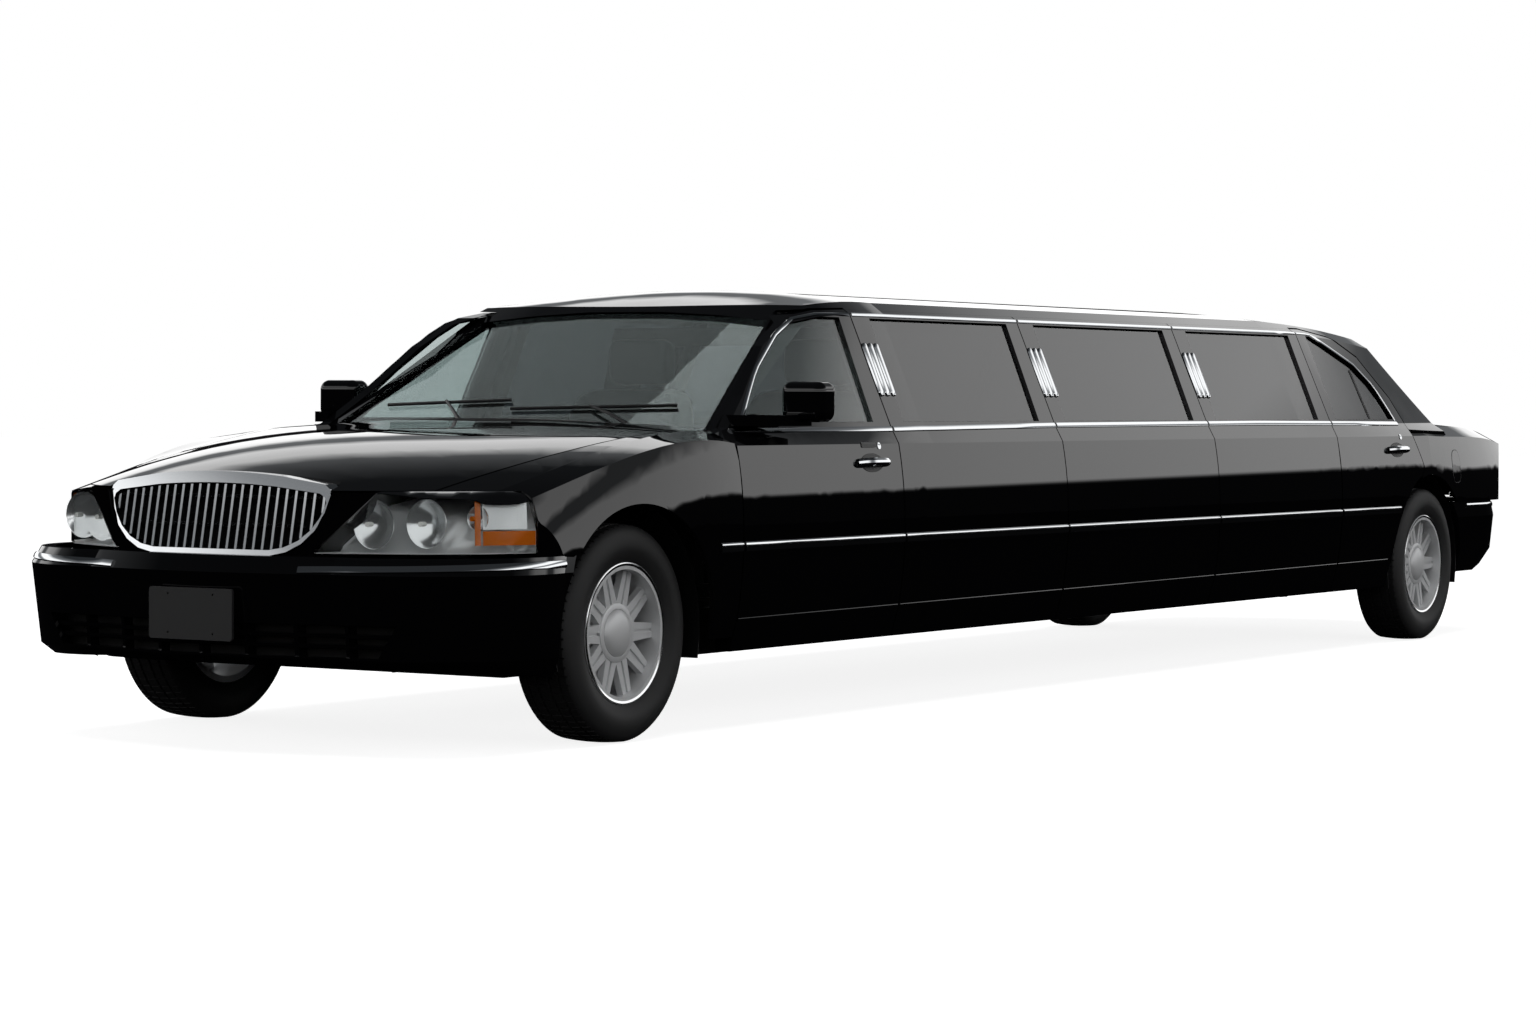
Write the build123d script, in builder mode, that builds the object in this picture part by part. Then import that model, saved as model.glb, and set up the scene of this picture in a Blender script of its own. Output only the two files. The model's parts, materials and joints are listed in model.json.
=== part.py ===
"""Stretch limousine, a lengthened saloon with a steel body on a ladder frame.

+X runs to the rear, +Y to the car's right, +Z up. The origin is on the ground, midway along the
car and on its centre plane. Lengths are in millimetres.
"""
from build123d import *
import functools
import math
import os

# Driving dimensions of the whole car
length = 9027.0
width = 1986.0
height = 1499.0
wheelbase = 6600.0
front_overhang = 1050.0
front_track = 1625.0
rear_track = 1690.0
tyre_radius = 351.0
tyre_width = 225.0

# Heights of the lines along the body side
sill_height = 262.0
crease_height = 375.0
widest_height = 610.0
shoulder_height = 945.0
belt_height = 1003.0
window_top_height = 1405.0
rail_height = 1450.0

# Half widths at those lines
sill_half_width = 930.0
crease_half_width = 962.0
moulding_depth = 8.0
widest_half_width = width / 2 - moulding_depth
shoulder_half_width = 957.0
belt_half_width = 925.0
window_top_half_width = 752.0
rail_half_width = 690.0

# Walls and clearances
skin = 14.0
door_thickness = 80.0
frame_thickness = 42.0
glass_thickness = 6.0
glass_inset = 12.0
shut_gap = 7.0
joint_gap = 2.0
seat_gap = 0.3
overrun = 400.0

# Stations along the car
front_end_x = -length / 2
rear_end_x = length / 2
front_axle_x = front_end_x + front_overhang
rear_axle_x = front_axle_x + wheelbase
front_door_setback = 588.0
front_door_length = 1076.0
stretch_panel_lengths = (1262.0, 1362.0, 1264.0)
rear_door_length = 888.0
door_front_x = front_axle_x + front_door_setback
stretch_front_x = door_front_x + front_door_length
stretch_seams = [stretch_front_x + sum(stretch_panel_lengths[:number]) for number in range(4)]
stretch_rear_x = stretch_seams[-1]
door_rear_x = stretch_rear_x + rear_door_length
straight_rear_x = rear_axle_x + 6.0

SIDES = {"left": -1, "right": 1}
AXLES = {"front": (front_axle_x, front_track / 2), "rear": (rear_axle_x, rear_track / 2)}
os.makedirs("parts", exist_ok=True)
for old_file in os.listdir("parts"):
    os.remove(os.path.join("parts", old_file))


def save(piece, label):
    """Labels a finished piece and writes its STEP file."""
    piece.label = label
    export_step(piece, os.path.join("parts", label + ".step"))
    print(label, len(piece.solids()))


def cross_plane(x):
    """A sketch plane across the car: its own X is the car's right, its own Y is up."""
    return Plane(origin=(x, 0, 0), x_dir=(0, 1, 0), z_dir=(1, 0, 0))


def side_plane(y):
    """A sketch plane along the car: its own X is rearward, its own Y is up."""
    return Plane(origin=(0, y, 0), x_dir=(1, 0, 0), z_dir=(0, -1, 0))


def side_prism(points, near=-width, far=width, draw_in=0.0):
    """A prism across the car from y = near to y = far over a side-view outline, drawn in if asked."""
    with BuildPart() as prism:
        with BuildSketch(side_plane(far)):
            with BuildLine():
                Polyline(*points, close=True)
                if draw_in:
                    offset(amount=-draw_in, kind=Kind.INTERSECTION)
            make_face()
        extrude(amount=far - near)
    return prism.part


def front_prism(points, start, end):
    """A prism along the car from x = start to x = end over a front-view outline."""
    with BuildPart() as prism:
        with BuildSketch(cross_plane(start)):
            with BuildLine():
                Polyline(*points, close=True)
            make_face()
        extrude(amount=end - start)
    return prism.part


def plan_outline(half, low, high):
    """A prism over a plan outline, given as its right half from front to rear."""
    other = [(x, -y) for x, y in reversed(half) if y > 0]
    with BuildPart() as prism:
        with BuildSketch(Plane.XY.offset(low)):
            with BuildLine():
                Polyline(*half, *other, close=True)
            make_face()
        extrude(amount=high - low)
    return prism.part


def block(x0, x1, y0, y1, z0, z1):
    """A plain block between two corners."""
    with BuildPart() as made:
        with Locations(((x0 + x1) / 2, (y0 + y1) / 2, (z0 + z1) / 2)):
            Box(abs(x1 - x0), abs(y1 - y0), abs(z1 - z0))
    return made.part


def both(half, centre=False):
    """A list of right-half points closed by their mirror image."""
    return half + [(-y, z) for y, z in reversed(half) if y > 0 or not centre]


# Lower body: sections of the front clip and of the tail
# columns: station share, half-width shares of sill, widest line, shoulder and deck edge,
# height shares of shoulder, deck edge and crown
crown_height = 1035.0
straight_shares = (1.000, 1.000, 1.000, 0.843, 1.000, 0.961, 1.000)
front_section_shares = [
    (0.00, *straight_shares),
    (0.40, 0.995, 0.995, 0.990, 0.843, 0.974, 0.903, 0.959),
    (0.74, 0.955, 0.950, 0.930, 0.832, 0.825, 0.792, 0.910),
    (1.00, 0.900, 0.890, 0.850, 0.780, 0.720, 0.715, 0.805),
]
rear_section_shares = [
    (0.00, *straight_shares),
    (0.45, 0.985, 0.990, 0.980, 0.830, 0.990, 0.952, 0.990),
    (0.80, 0.950, 0.955, 0.940, 0.800, 0.955, 0.925, 0.965),
    (1.00, 0.915, 0.920, 0.900, 0.770, 0.900, 0.880, 0.930),
]
nose_x = front_end_x + 100.0
tail_x = rear_end_x - 75.0


def body_section(x, shares, inset):
    """One cross section of the lower body, drawn in by inset and open below if it is."""
    sill, widest, shoulder, deck, shoulder_up, deck_up, crown_up = shares
    low = sill_height - (overrun if inset else 0)
    right = [
        (sill_half_width * sill - inset, low),
        (crease_half_width * sill - inset, crease_height),
        (widest_half_width * widest - inset, widest_height),
        (shoulder_half_width * shoulder - inset, shoulder_height * shoulder_up - inset),
        (widest_half_width * deck - inset, crown_height * deck_up - inset),
    ]
    left = [(-y, z) for y, z in right]
    with BuildSketch(cross_plane(x)) as section:
        with BuildLine():
            Line(left[0], right[0])
            Line(right[0], right[1])
            ThreePointArc(right[1], right[2], right[3])
            Line(right[3], right[4])
            ThreePointArc(right[4], (0, crown_height * crown_up - inset), left[4])
            Line(left[4], left[3])
            ThreePointArc(left[3], left[2], left[1])
            Line(left[1], left[0])
        make_face()
    return section.sketch_local


# Plan of nose and tail: share of the end's depth back from its tip, share of the half width
end_depth = 560.0
nose_plan_shares = [(0.00, 0.00), (0.03, 0.42), (0.27, 0.70), (0.52, 0.84), (0.82, 0.93), (1.50, 1.05)]
tail_plan_shares = [(0.00, 0.00), (0.03, 0.52), (0.12, 0.75), (0.33, 0.88), (0.68, 0.96), (1.50, 1.05)]


def end_plan(tip, way, shares, inset, reach):
    """Right half of a plan outline that rounds one end of the body."""
    half = [(tip - way * (end_depth * back + inset), width / 2 * out) for back, out in shares]
    return half + [(reach, width), (reach, 0)]


def body_end(table, start, end, way, plan_shares, inset):
    """The lower body at one end of the car, drawn in by inset."""
    with BuildPart() as clip:
        for share, *shares in table:
            with BuildSketch(cross_plane(start + (end - start) * share)):
                add(body_section(start + (end - start) * share, shares, inset))
        loft()
    plan = plan_outline(end_plan(end, way, plan_shares, inset, start - way * overrun), -overrun, height)
    return clip.part & plan


clip_rear_x = door_front_x + 30.0
front_outer = body_end(front_section_shares, clip_rear_x, nose_x, -1, nose_plan_shares, 0)
front_inner = body_end(front_section_shares, clip_rear_x, nose_x, -1, nose_plan_shares, skin)
rear_outer = body_end(rear_section_shares, straight_rear_x, tail_x, 1, tail_plan_shares, 0)
rear_inner = body_end(rear_section_shares, straight_rear_x, tail_x, 1, tail_plan_shares, skin)
front_shell = front_outer - front_inner
rear_shell = rear_outer - rear_inner

# Cabin: one cross section from sill to roof, dropped towards the windscreen and the rear window
# columns: station along the car, drop of the roof rail, drop of the roof crown, narrowing of each side
header_x = door_front_x + 775.0
roof_flat_front_x = stretch_front_x + 250.0
roof_flat_rear_x = stretch_rear_x - 300.0
rear_header_x = door_rear_x - 160.0
cabin_front_x = front_axle_x + 400.0
cabin_rear_x = rear_axle_x + 586.0
roof_drop = 45.0
front_roof_drops = [(roof_flat_front_x, 0, 0, 0), (stretch_front_x, 0.05 * roof_drop, 0.3 * roof_drop, 0),
                    (header_x, 0.65 * roof_drop, 1.65 * roof_drop, 0.25 * roof_drop),
                    (cabin_front_x, 4.0 * roof_drop, 4.8 * roof_drop, 2.0 * roof_drop)]
rear_roof_drops = [(roof_flat_rear_x, 0, 0, 0), (rear_header_x, 1.2 * roof_drop, 1.8 * roof_drop, 0.3 * roof_drop),
                   (cabin_rear_x, 3.6 * roof_drop, 4.0 * roof_drop, 1.6 * roof_drop)]


def cabin_section(x, rail_drop, crown_drop, taper, low_inset, high_inset):
    """Cross section of the cabin, sill to roof; a drawn-in one runs on down past the sill."""
    low = sill_height - (overrun if low_inset else 0)
    drop = rail_drop * (window_top_height - belt_height) / (rail_height - belt_height)
    right = [
        (sill_half_width - low_inset, low),
        (crease_half_width - low_inset, crease_height),
        (widest_half_width - low_inset, widest_height),
        (shoulder_half_width - low_inset, shoulder_height),
        (belt_half_width - taper - high_inset, belt_height),
        (window_top_half_width - taper - high_inset, window_top_height - drop),
        (rail_half_width - taper - high_inset, rail_height - rail_drop - high_inset * 0.5),
    ]
    left = [(-y, z) for y, z in right]
    with BuildSketch(cross_plane(x)) as section:
        with BuildLine():
            Line(left[0], right[0])
            Line(right[0], right[1])
            ThreePointArc(right[1], right[2], right[3])
            Polyline(*right[3:])
            ThreePointArc(right[-1], (0, height - crown_drop - high_inset), left[-1])
            Polyline(*left[:2:-1])
            ThreePointArc(left[3], left[2], left[1])
            Line(left[1], left[0])
        make_face()
    return section.sketch_local


@functools.cache
def cabin(low_inset, high_inset):
    """The whole cabin from cowl to rear shelf, drawn in by the two insets."""
    with BuildPart() as solid:
        with BuildSketch(cross_plane(roof_flat_front_x)):
            add(cabin_section(roof_flat_front_x, 0, 0, 0, low_inset, high_inset))
        extrude(amount=roof_flat_rear_x - roof_flat_front_x)
        for drops in (front_roof_drops, rear_roof_drops):
            with BuildPart(mode=Mode.PRIVATE) as sloped:
                for x, rail_drop, crown_drop, taper in drops:
                    with BuildSketch(cross_plane(x)):
                        add(cabin_section(x, rail_drop, crown_drop, taper, low_inset, high_inset))
                loft()
            add(sloped.part)
    return solid.part


# Windscreen and rear window: the cabin's ends lean and bow as one loft between two plans
glass_foot_z = shoulder_height
glass_head_z = height + 20.0
screen_foot_x = door_front_x - 155.0
screen_lean_share = 1.96
screen_head_x = screen_foot_x + screen_lean_share * (glass_head_z - glass_foot_z)
screen_bow = 190.0
screen_head_bow = 110.0
backlight_foot_x = rear_axle_x + 464.0
backlight_lean_share = 1.38
backlight_head_x = backlight_foot_x - backlight_lean_share * (glass_head_z - glass_foot_z)
backlight_bow = 170.0
bow_half_width = 930.0


def glasshouse_plan(z, front_x, front_bow, rear_x, rear_bow):
    """Plan of the cabin's two bowed ends at one height."""
    with BuildSketch(Plane.XY.offset(z)) as plan:
        with BuildLine():
            ThreePointArc((front_x + front_bow, bow_half_width), (front_x, 0), (front_x + front_bow, -bow_half_width))
            Line((front_x + front_bow, -bow_half_width), (rear_x - rear_bow, -bow_half_width))
            ThreePointArc((rear_x - rear_bow, -bow_half_width), (rear_x, 0), (rear_x - rear_bow, bow_half_width))
            Line((rear_x - rear_bow, bow_half_width), (front_x + front_bow, bow_half_width))
        make_face()
    return plan.sketch_local


def greenhouse(inset):
    """The cabin above the belt, drawn in by inset on every side but its foot."""
    with BuildPart() as ends:
        with BuildSketch(Plane.XY.offset(glass_foot_z)):
            add(glasshouse_plan(glass_foot_z, screen_foot_x + 2.2 * inset, screen_bow,
                                backlight_foot_x - 1.7 * inset, backlight_bow))
        with BuildSketch(Plane.XY.offset(glass_head_z)):
            add(glasshouse_plan(glass_head_z, screen_head_x + 2.2 * inset, screen_head_bow,
                                backlight_head_x - 1.7 * inset, backlight_bow))
        loft()
    return cabin(inset, inset) & ends.part


# Side openings in the side view, from the windscreen pillar round to the rear wheel arch
shoulder_seam_z = shoulder_height - 50.0
pillar_lean = 75.0
seam_top_z = rail_height - 30.0
pillar_line_shares = [(0.00, 0.00), (0.170, 0.26), (0.400, 0.67), (0.630, 0.93), (0.800, 0.985), (1.000, 1.00)]
pillar_front_x = door_front_x + 95.0
door_corner_x = door_front_x - 22.0
door_corner_z = belt_height - 18.0
rear_edge_shares = [(0.30, 1.000), (-0.02, 0.93), (-0.27, 0.60)]
rear_bulge = 95.0
quarter_seam_z = 752.0
arch_radius = 428.0
arch_height = 338.0


def pillar_line(grow):
    """Points up the windscreen pillar seam and onto the roof rail, moved out by grow."""
    run = stretch_front_x - pillar_front_x
    rise = seam_top_z - belt_height
    return [(pillar_front_x + run * along - grow, belt_height + rise * up + grow)
            for along, up in pillar_line_shares]


def front_door_outline(grow=0.0):
    """Side view of a front door."""
    return [
        (door_front_x - grow, sill_height - overrun * (grow > 0)),
        (door_front_x - grow, shoulder_seam_z),
        (door_corner_x - grow, door_corner_z + grow),
        *pillar_line(grow)[:-1],
        (stretch_front_x - shut_gap / 2 + grow, seam_top_z + grow),
        (stretch_front_x - shut_gap / 2 + grow, sill_height - overrun * (grow > 0)),
    ]


def rear_door_outline(grow=0.0):
    """Side view of a rear door, cut at its rear foot by the wheel arch."""
    low = sill_height - overrun * (grow > 0)
    front = stretch_rear_x + shut_gap / 2 - grow
    return [
        (front, low),
        (front, seam_top_z + grow),
        (door_rear_x - 780.0 + grow, seam_top_z + grow),
        (door_rear_x - 500.0 + grow, rail_height - 62.0 + grow),
        (door_rear_x - 250.0 + grow, rail_height - 150.0 + grow),
        (door_rear_x - 50.0 + grow, belt_height + 115.0 + grow),
        (door_rear_x + grow, belt_height + grow),
        (door_rear_x - 22.0 + grow, shoulder_height),
        (door_rear_x + 75.0 + grow, quarter_seam_z + 50.0),
        (door_rear_x + 40.0 + grow, quarter_seam_z),
        (door_rear_x - 204.0 + grow, widest_height - 45.0 - grow),
        (door_rear_x - 240.0 + grow, low),
    ]


def arch_cut(x, extra=0.0):
    """The round cut of both wheel arches on one axle."""
    with BuildPart() as cut:
        with BuildSketch(side_plane(width)):
            with Locations((x, arch_height)):
                Circle(arch_radius + extra)
            with Locations((x, (arch_height - overrun) / 2)):
                Rectangle(2 * (arch_radius + extra), arch_height + overrun)
        extrude(amount=2 * width)
    return cut.part


# Walls below the belt between the axles, doors and fixed panels alike
panel_extra = 8.0
cabin_outer = cabin(0, 0)
door_ring = cabin_outer - cabin(door_thickness, frame_thickness)
panel_ring = cabin_outer - cabin(door_thickness + panel_extra, frame_thickness + panel_extra)
pane_ring = cabin(glass_inset, glass_inset) - cabin(glass_inset + glass_thickness, glass_inset + glass_thickness)
sides_near = rail_half_width - frame_thickness - panel_extra - 30.0

# Window outlines in the side view
window_sill_z = belt_height + 18.0
window_head_z = window_top_height - 14.0
door_window_post = 78.0
window_post_front = 100.0
window_post_rear = 118.0
window_lean = 24.0
front_window = [
    (door_front_x + 190.0, window_sill_z),
    (door_front_x + 400.0, belt_height + 192.0),
    (door_front_x + 585.0, belt_height + 312.0),
    (door_front_x + 705.0, belt_height + 366.0),
    (door_front_x + 880.0, window_head_z),
    (stretch_front_x - door_window_post, window_head_z),
    (stretch_front_x - door_window_post - 30.0, window_sill_z),
]
rear_window_side = [
    (stretch_rear_x + door_window_post, window_sill_z),
    (stretch_rear_x + door_window_post + window_lean, window_head_z),
    (door_rear_x - 740.0, window_head_z),
    (door_rear_x - 577.0, belt_height + 336.0),
    (door_rear_x - 345.0, belt_height + 259.0),
    (door_rear_x - 203.0, belt_height + 165.0),
    (door_rear_x - 146.0, belt_height + 70.0),
    (door_rear_x - 121.0, window_sill_z),
]


# Hinges: a post carries two pins, and a gooseneck leaf on the door turns on each
hinge_ahead = 50.0
hinge_inboard = 40.0
hinge_axis_y = widest_half_width - hinge_inboard
hinge_heights = (460.0, 800.0)
pin_radius = 6.0
eye_radius = 11.0
eye_height = 30.0
leaf_thickness = 10.0
leaf_inboard = 40.0
leaf_root = 15.0
lug_height = 12.0
post_width = 60.0
post_inner_y = 765.0
post_gap = 10.0
sill_top_z = 400.0
post_top_z = window_top_height - 8.0
# columns: radius from the hinge axis, height, of the turned hollow behind a door's front edge
hollow_profile = [(52.8, crease_height), (66.0, widest_height), (50.9, shoulder_height)]


def door_leaves(front_x, side):
    """Eyes and goosenecks of one door's two hinges."""
    y = side * hinge_axis_y
    x = front_x - hinge_ahead
    reach = hinge_ahead + leaf_root
    with BuildPart() as leaves:
        for z in hinge_heights:
            with BuildSketch(Plane.XY.offset(z - eye_height / 2)):
                with Locations((x, y)):
                    Circle(eye_radius)
                with Locations((x, y - side * leaf_inboard / 2)):
                    Rectangle(leaf_thickness, leaf_inboard)
                with Locations((x + reach / 2, y - side * leaf_inboard)):
                    Rectangle(reach + leaf_thickness, leaf_thickness)
                with Locations((x, y)):
                    Circle(pin_radius + seat_gap, mode=Mode.SUBTRACT)
            extrude(amount=eye_height)
    return leaves.part


def edge_hollow(front_x, side):
    """What a door's front edge gives up, so that it swings clear of the edge ahead of it."""
    x, y = front_x - hinge_ahead, side * hinge_axis_y
    with BuildPart() as hollow:
        with BuildSketch(Plane(origin=(x, y, 0), x_dir=(1, 0, 0), z_dir=(0, -1, 0))):
            with BuildLine():
                low, mid, high = hollow_profile
                ThreePointArc(low, mid, high)
                Polyline(high, (0, high[1]), (0, low[1]), low)
            make_face()
        revolve(axis=Axis((x, y, 0), (0, 0, 1)))
    return hollow.part


def post(x, top=post_top_z):
    """A pair of body posts, one each side, from the floor to the roof rail."""
    low_y = sill_half_width - door_thickness - panel_extra - seat_gap
    foot_z = sill_top_z + seat_gap
    belt_y = belt_half_width - frame_thickness - panel_extra - seat_gap
    head_y = window_top_half_width - frame_thickness - panel_extra - seat_gap
    upper = 30.0
    outline = [(post_inner_y, foot_z), (low_y, foot_z), (low_y, shoulder_height - 60.0)]
    if top > belt_height:
        outline += [(belt_y - post_gap / 2, belt_height), (head_y - post_gap / 5, top), (head_y - upper, top),
                    (belt_y - 1.5 * upper, belt_height)]
    outline += [(post_inner_y, shoulder_height - 60.0)]
    with BuildPart() as pair:
        for side in SIDES.values():
            add(front_prism([(side * y, z) for y, z in outline], x - post_width / 2, x + post_width / 2))
    return pair.part


def hinge_pins(front_x):
    """Both sides' hinge pins with the lugs that carry them, reaching out from a post."""
    with BuildPart() as pins:
        for side in SIDES.values():
            x, y = front_x - hinge_ahead, side * hinge_axis_y
            inner = side * (post_inner_y + pin_radius)
            for z in hinge_heights:
                half = eye_height / 2 + joint_gap
                for foot in (z - half - lug_height, z + half):
                    with BuildSketch(Plane.XY.offset(foot)):
                        with Locations((x, y)):
                            Circle(eye_radius)
                        with Locations((x, (y + inner) / 2)):
                            Rectangle(2 * eye_radius, abs(y - inner))
                    extrude(amount=lug_height)
                with BuildSketch(Plane.XY.offset(z - half)):
                    with Locations((x, y)):
                        Circle(pin_radius)
                extrude(amount=2 * half)
    return pins.part


def pocket(front_x):
    """Room behind the outer skin of the panel ahead of a door, for its hinges."""
    with BuildPart() as room:
        for z in hinge_heights:
            reach = eye_height + lug_height + 4 * joint_gap
            add(block(front_x - hinge_ahead - 3 * eye_radius, front_x, -width, width, z - reach, z + reach))
    return room.part & cabin(skin, skin)


# Doors, each with its window opening, its hinge leaves and its own pane
door_tables = {
    "front": (door_front_x, front_door_outline, front_window),
    "rear": (stretch_rear_x + shut_gap / 2, rear_door_outline, rear_window_side),
}
# inboard of this width the doors' top edge is rebated, so that it swings clear of the roof rail
rebate_half = 672.0
rebate_depth = 15.0
top_rebate = block(-length, length, -rebate_half, rebate_half, seam_top_z - rebate_depth, height)
front_arch = arch_cut(front_axle_x)
rear_arch = arch_cut(rear_axle_x)
rear_arch_wide = arch_cut(rear_axle_x, shut_gap + 2 * joint_gap)
for row, (front_x, outline, window) in door_tables.items():
    whole = door_ring & side_prism(outline())
    whole = whole - rear_arch_wide - side_prism(window) - top_rebate
    panes = pane_ring & side_prism(window, draw_in=seat_gap)
    for side_name, side in SIDES.items():
        half = block(-length, length, side * sides_near, side * width, -overrun, height)
        with BuildPart() as door:
            add((whole & half) - edge_hollow(front_x, side))
            add(door_leaves(front_x, side))
        save(door.part, "door_" + row + "_" + side_name)
        save(panes & half, "door_glass_" + row + "_" + side_name)

# Stretch panels: three fixed walls a side, each with a window
with BuildPart() as stretch_walls:
    for start, end in zip(stretch_seams, stretch_seams[1:]):
        start, end = start + shut_gap / 2, end - shut_gap / 2
        add(panel_ring & side_prism([(start, sill_height), (start, seam_top_z), (end, seam_top_z), (end, sill_height)]))
sides_only = block(-length, length, -sides_near, sides_near, -overrun, height)
walls = stretch_walls.part - sides_only - pocket(stretch_rear_x + shut_gap / 2)
stretch_windows = []
for start, end in zip(stretch_seams, stretch_seams[1:]):
    start, end = start + window_post_front, end - window_post_rear
    stretch_windows.append([(start, window_sill_z), (start + window_lean, window_head_z),
                            (end + window_lean, window_head_z), (end, window_sill_z)])
stretch_panes = []
for window in stretch_windows:
    walls = walls - side_prism(window)
    stretch_panes.append((pane_ring & side_prism(window, draw_in=seat_gap)) - sides_only)
save(walls, "side_panels")
with BuildPart() as stretch_glass:
    for pane in stretch_panes:
        add(pane)
save(stretch_glass.part, "side_windows")

# Front clip: bonnet, wings, cowl and lamps
cowl_gap = 26.0
bonnet_thickness = 14.0
bonnet_front_half_width = 668.0
bonnet_rear_half_width = 812.0
bonnet_rear_x = screen_foot_x + 60.0
bonnet_rear_bow = 180.0
lamp_top = 812.0
lamp_bottom = 622.0
lamp_rear_x = front_axle_x - 500.0
lamp_inner_low_y = 392.0
lamp_inner_high_y = 576.0
lamp_depth = 70.0
bumper_top = 612.0
straight_outer_shares = straight_shares


def bonnet_plan(grow, low):
    """A prism over the bonnet's plan, grown by a clearance, from low up."""
    with BuildPart() as prism:
        with BuildSketch(Plane.XY.offset(low)):
            front = nose_x - overrun
            rear = bonnet_rear_x + bonnet_rear_bow + grow
            with BuildLine():
                a = (front, bonnet_front_half_width + grow)
                b = (nose_x, bonnet_front_half_width + grow)
                c = (rear, bonnet_rear_half_width + grow)
                Polyline((a[0], -a[1]), a, b, c)
                ThreePointArc(c, (bonnet_rear_x + grow, 0), (c[0], -c[1]))
                Polyline((c[0], -c[1]), (b[0], -b[1]), (a[0], -a[1]))
            make_face()
        extrude(amount=height)
    return prism.part


def straight_shell(start, end, thickness):
    """The open shell of the lower body where its section doesn't change."""
    shells = []
    for inset in (0, thickness):
        with BuildPart() as solid:
            with BuildSketch(cross_plane(start)):
                add(body_section(start, straight_shares, inset))
            extrude(amount=end - start)
        shells.append(solid.part)
    return shells[0] - shells[1]


glasshouse = greenhouse(0)
door_depth = cabin(door_thickness + shut_gap, frame_thickness + shut_gap)
door_depth = door_depth + block(-length, length, shut_gap - sides_near, sides_near - shut_gap, -overrun, height)
front_door_room = side_prism(front_door_outline(shut_gap)) - door_depth
rear_door_room = side_prism(rear_door_outline(shut_gap)) - door_depth
cowl_end_x = door_front_x + 330.0
clip_shell = front_shell + straight_shell(clip_rear_x, cowl_end_x, skin)
lamp_room = block(nose_x - overrun, lamp_rear_x + seat_gap, -width, width, bumper_top, lamp_top + seat_gap)
below_bumper_top = block(nose_x - overrun, front_axle_x, -width, width, -overrun, bumper_top + seat_gap)

bonnet_inner = body_end(front_section_shares, clip_rear_x, nose_x, -1, nose_plan_shares, bonnet_thickness)
bonnet_skin = (front_outer - bonnet_inner) + straight_shell(clip_rear_x, cowl_end_x, bonnet_thickness)
bonnet_box = block(nose_x - overrun, cowl_end_x, -width, width, lamp_top, height)
bonnet_hinge_x = bonnet_rear_x + bonnet_rear_bow - 62.0
bonnet_hinge_y = 705.0
bonnet_hinge_z = 972.0
bonnet_sweep_radius = 75.0
hinge_eye_width = 24.0


def lid_eyes(x, y, z, top_z, rear=0.0):
    """A pair of hinge eyes under a lid, each with a web up to the lid's skin."""
    with BuildPart() as eyes:
        for side in SIDES.values():
            with BuildSketch(side_plane(side * y + hinge_eye_width / 2)):
                with Locations((x, z)):
                    Circle(eye_radius)
                with Locations((x + rear / 2, (z + top_z) / 2)):
                    Rectangle(2 * eye_radius + rear, top_z - z)
                with Locations((x, z)):
                    Circle(pin_radius + seat_gap, mode=Mode.SUBTRACT)
            extrude(amount=hinge_eye_width)
    return eyes.part


def lid_brackets(x, y, z, foot_z):
    """Pins for a lid's hinge eyes, each held between two lugs that stand on foot_z."""
    with BuildPart() as brackets:
        for side in SIDES.values():
            half = hinge_eye_width / 2 + joint_gap
            for near in (-half - lug_height, half):
                with BuildSketch(side_plane(side * y + near + lug_height)):
                    with Locations((x, z)):
                        Circle(eye_radius)
                    with Locations((x, (z + foot_z) / 2)):
                        Rectangle(2 * eye_radius, z - foot_z)
                extrude(amount=lug_height)
            with BuildSketch(side_plane(side * y + half)):
                with Locations((x, z)):
                    Circle(pin_radius)
            extrude(amount=2 * half)
    return brackets.part


with BuildPart() as bonnet:
    add((bonnet_skin & bonnet_plan(0, lamp_top + joint_gap)) - glasshouse)
    add(lid_eyes(bonnet_hinge_x, bonnet_hinge_y, bonnet_hinge_z, bonnet_hinge_z + 28.0))

bonnet_sides = plan_outline([(nose_x - overrun, 0), (nose_x - overrun, bonnet_front_half_width + shut_gap),
                             (nose_x, bonnet_front_half_width + shut_gap),
                             (bonnet_rear_x + bonnet_rear_bow, bonnet_rear_half_width + shut_gap),
                             (cowl_end_x, bonnet_rear_half_width + shut_gap), (cowl_end_x, 0)], lamp_top - 60.0, height)
wings = clip_shell - bonnet_sides - lamp_room - below_bumper_top - front_arch
wings = wings - front_door_room - glasshouse
wings = wings - block(door_front_x - shut_gap, cowl_end_x, -width, width, -overrun, shoulder_seam_z)
wings = wings - block(door_front_x + 150.0, cowl_end_x, -width, width, -overrun, height)
wings = wings - block(nose_x - overrun, nose_x + 400.0, -bonnet_front_half_width, bonnet_front_half_width, 0, height)
save(wings, "wings")

lamp_solid = (front_outer - body_end(front_section_shares, clip_rear_x, nose_x, -1, nose_plan_shares, lamp_depth))
lamp_box = block(nose_x - overrun, lamp_rear_x, -width, width, lamp_bottom, lamp_top)


def between_lamps(grow):
    """The room between the headlamps' slanting inner edges, grown by a clearance."""
    return front_prism(both([(lamp_inner_low_y + grow, 0), (lamp_inner_low_y + grow, lamp_bottom - grow),
                             (lamp_inner_high_y + grow, lamp_top + grow)]), nose_x - overrun, lamp_rear_x)


save((lamp_solid & lamp_box) - between_lamps(seat_gap), "headlamps")

# Rear clip: quarters, boot lid and tail lamps
lid_front_x = backlight_foot_x + 25.0
lid_half_width = 735.0
lid_face_half_width = 560.0
lid_bottom_z = 640.0
lid_corner_z = 850.0
tail_lamp_front_x = tail_x - 130.0
tail_lamp_bottom = 655.0
rear_bumper_top = 632.0
quarter_front_x = stretch_rear_x + 300.0


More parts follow.
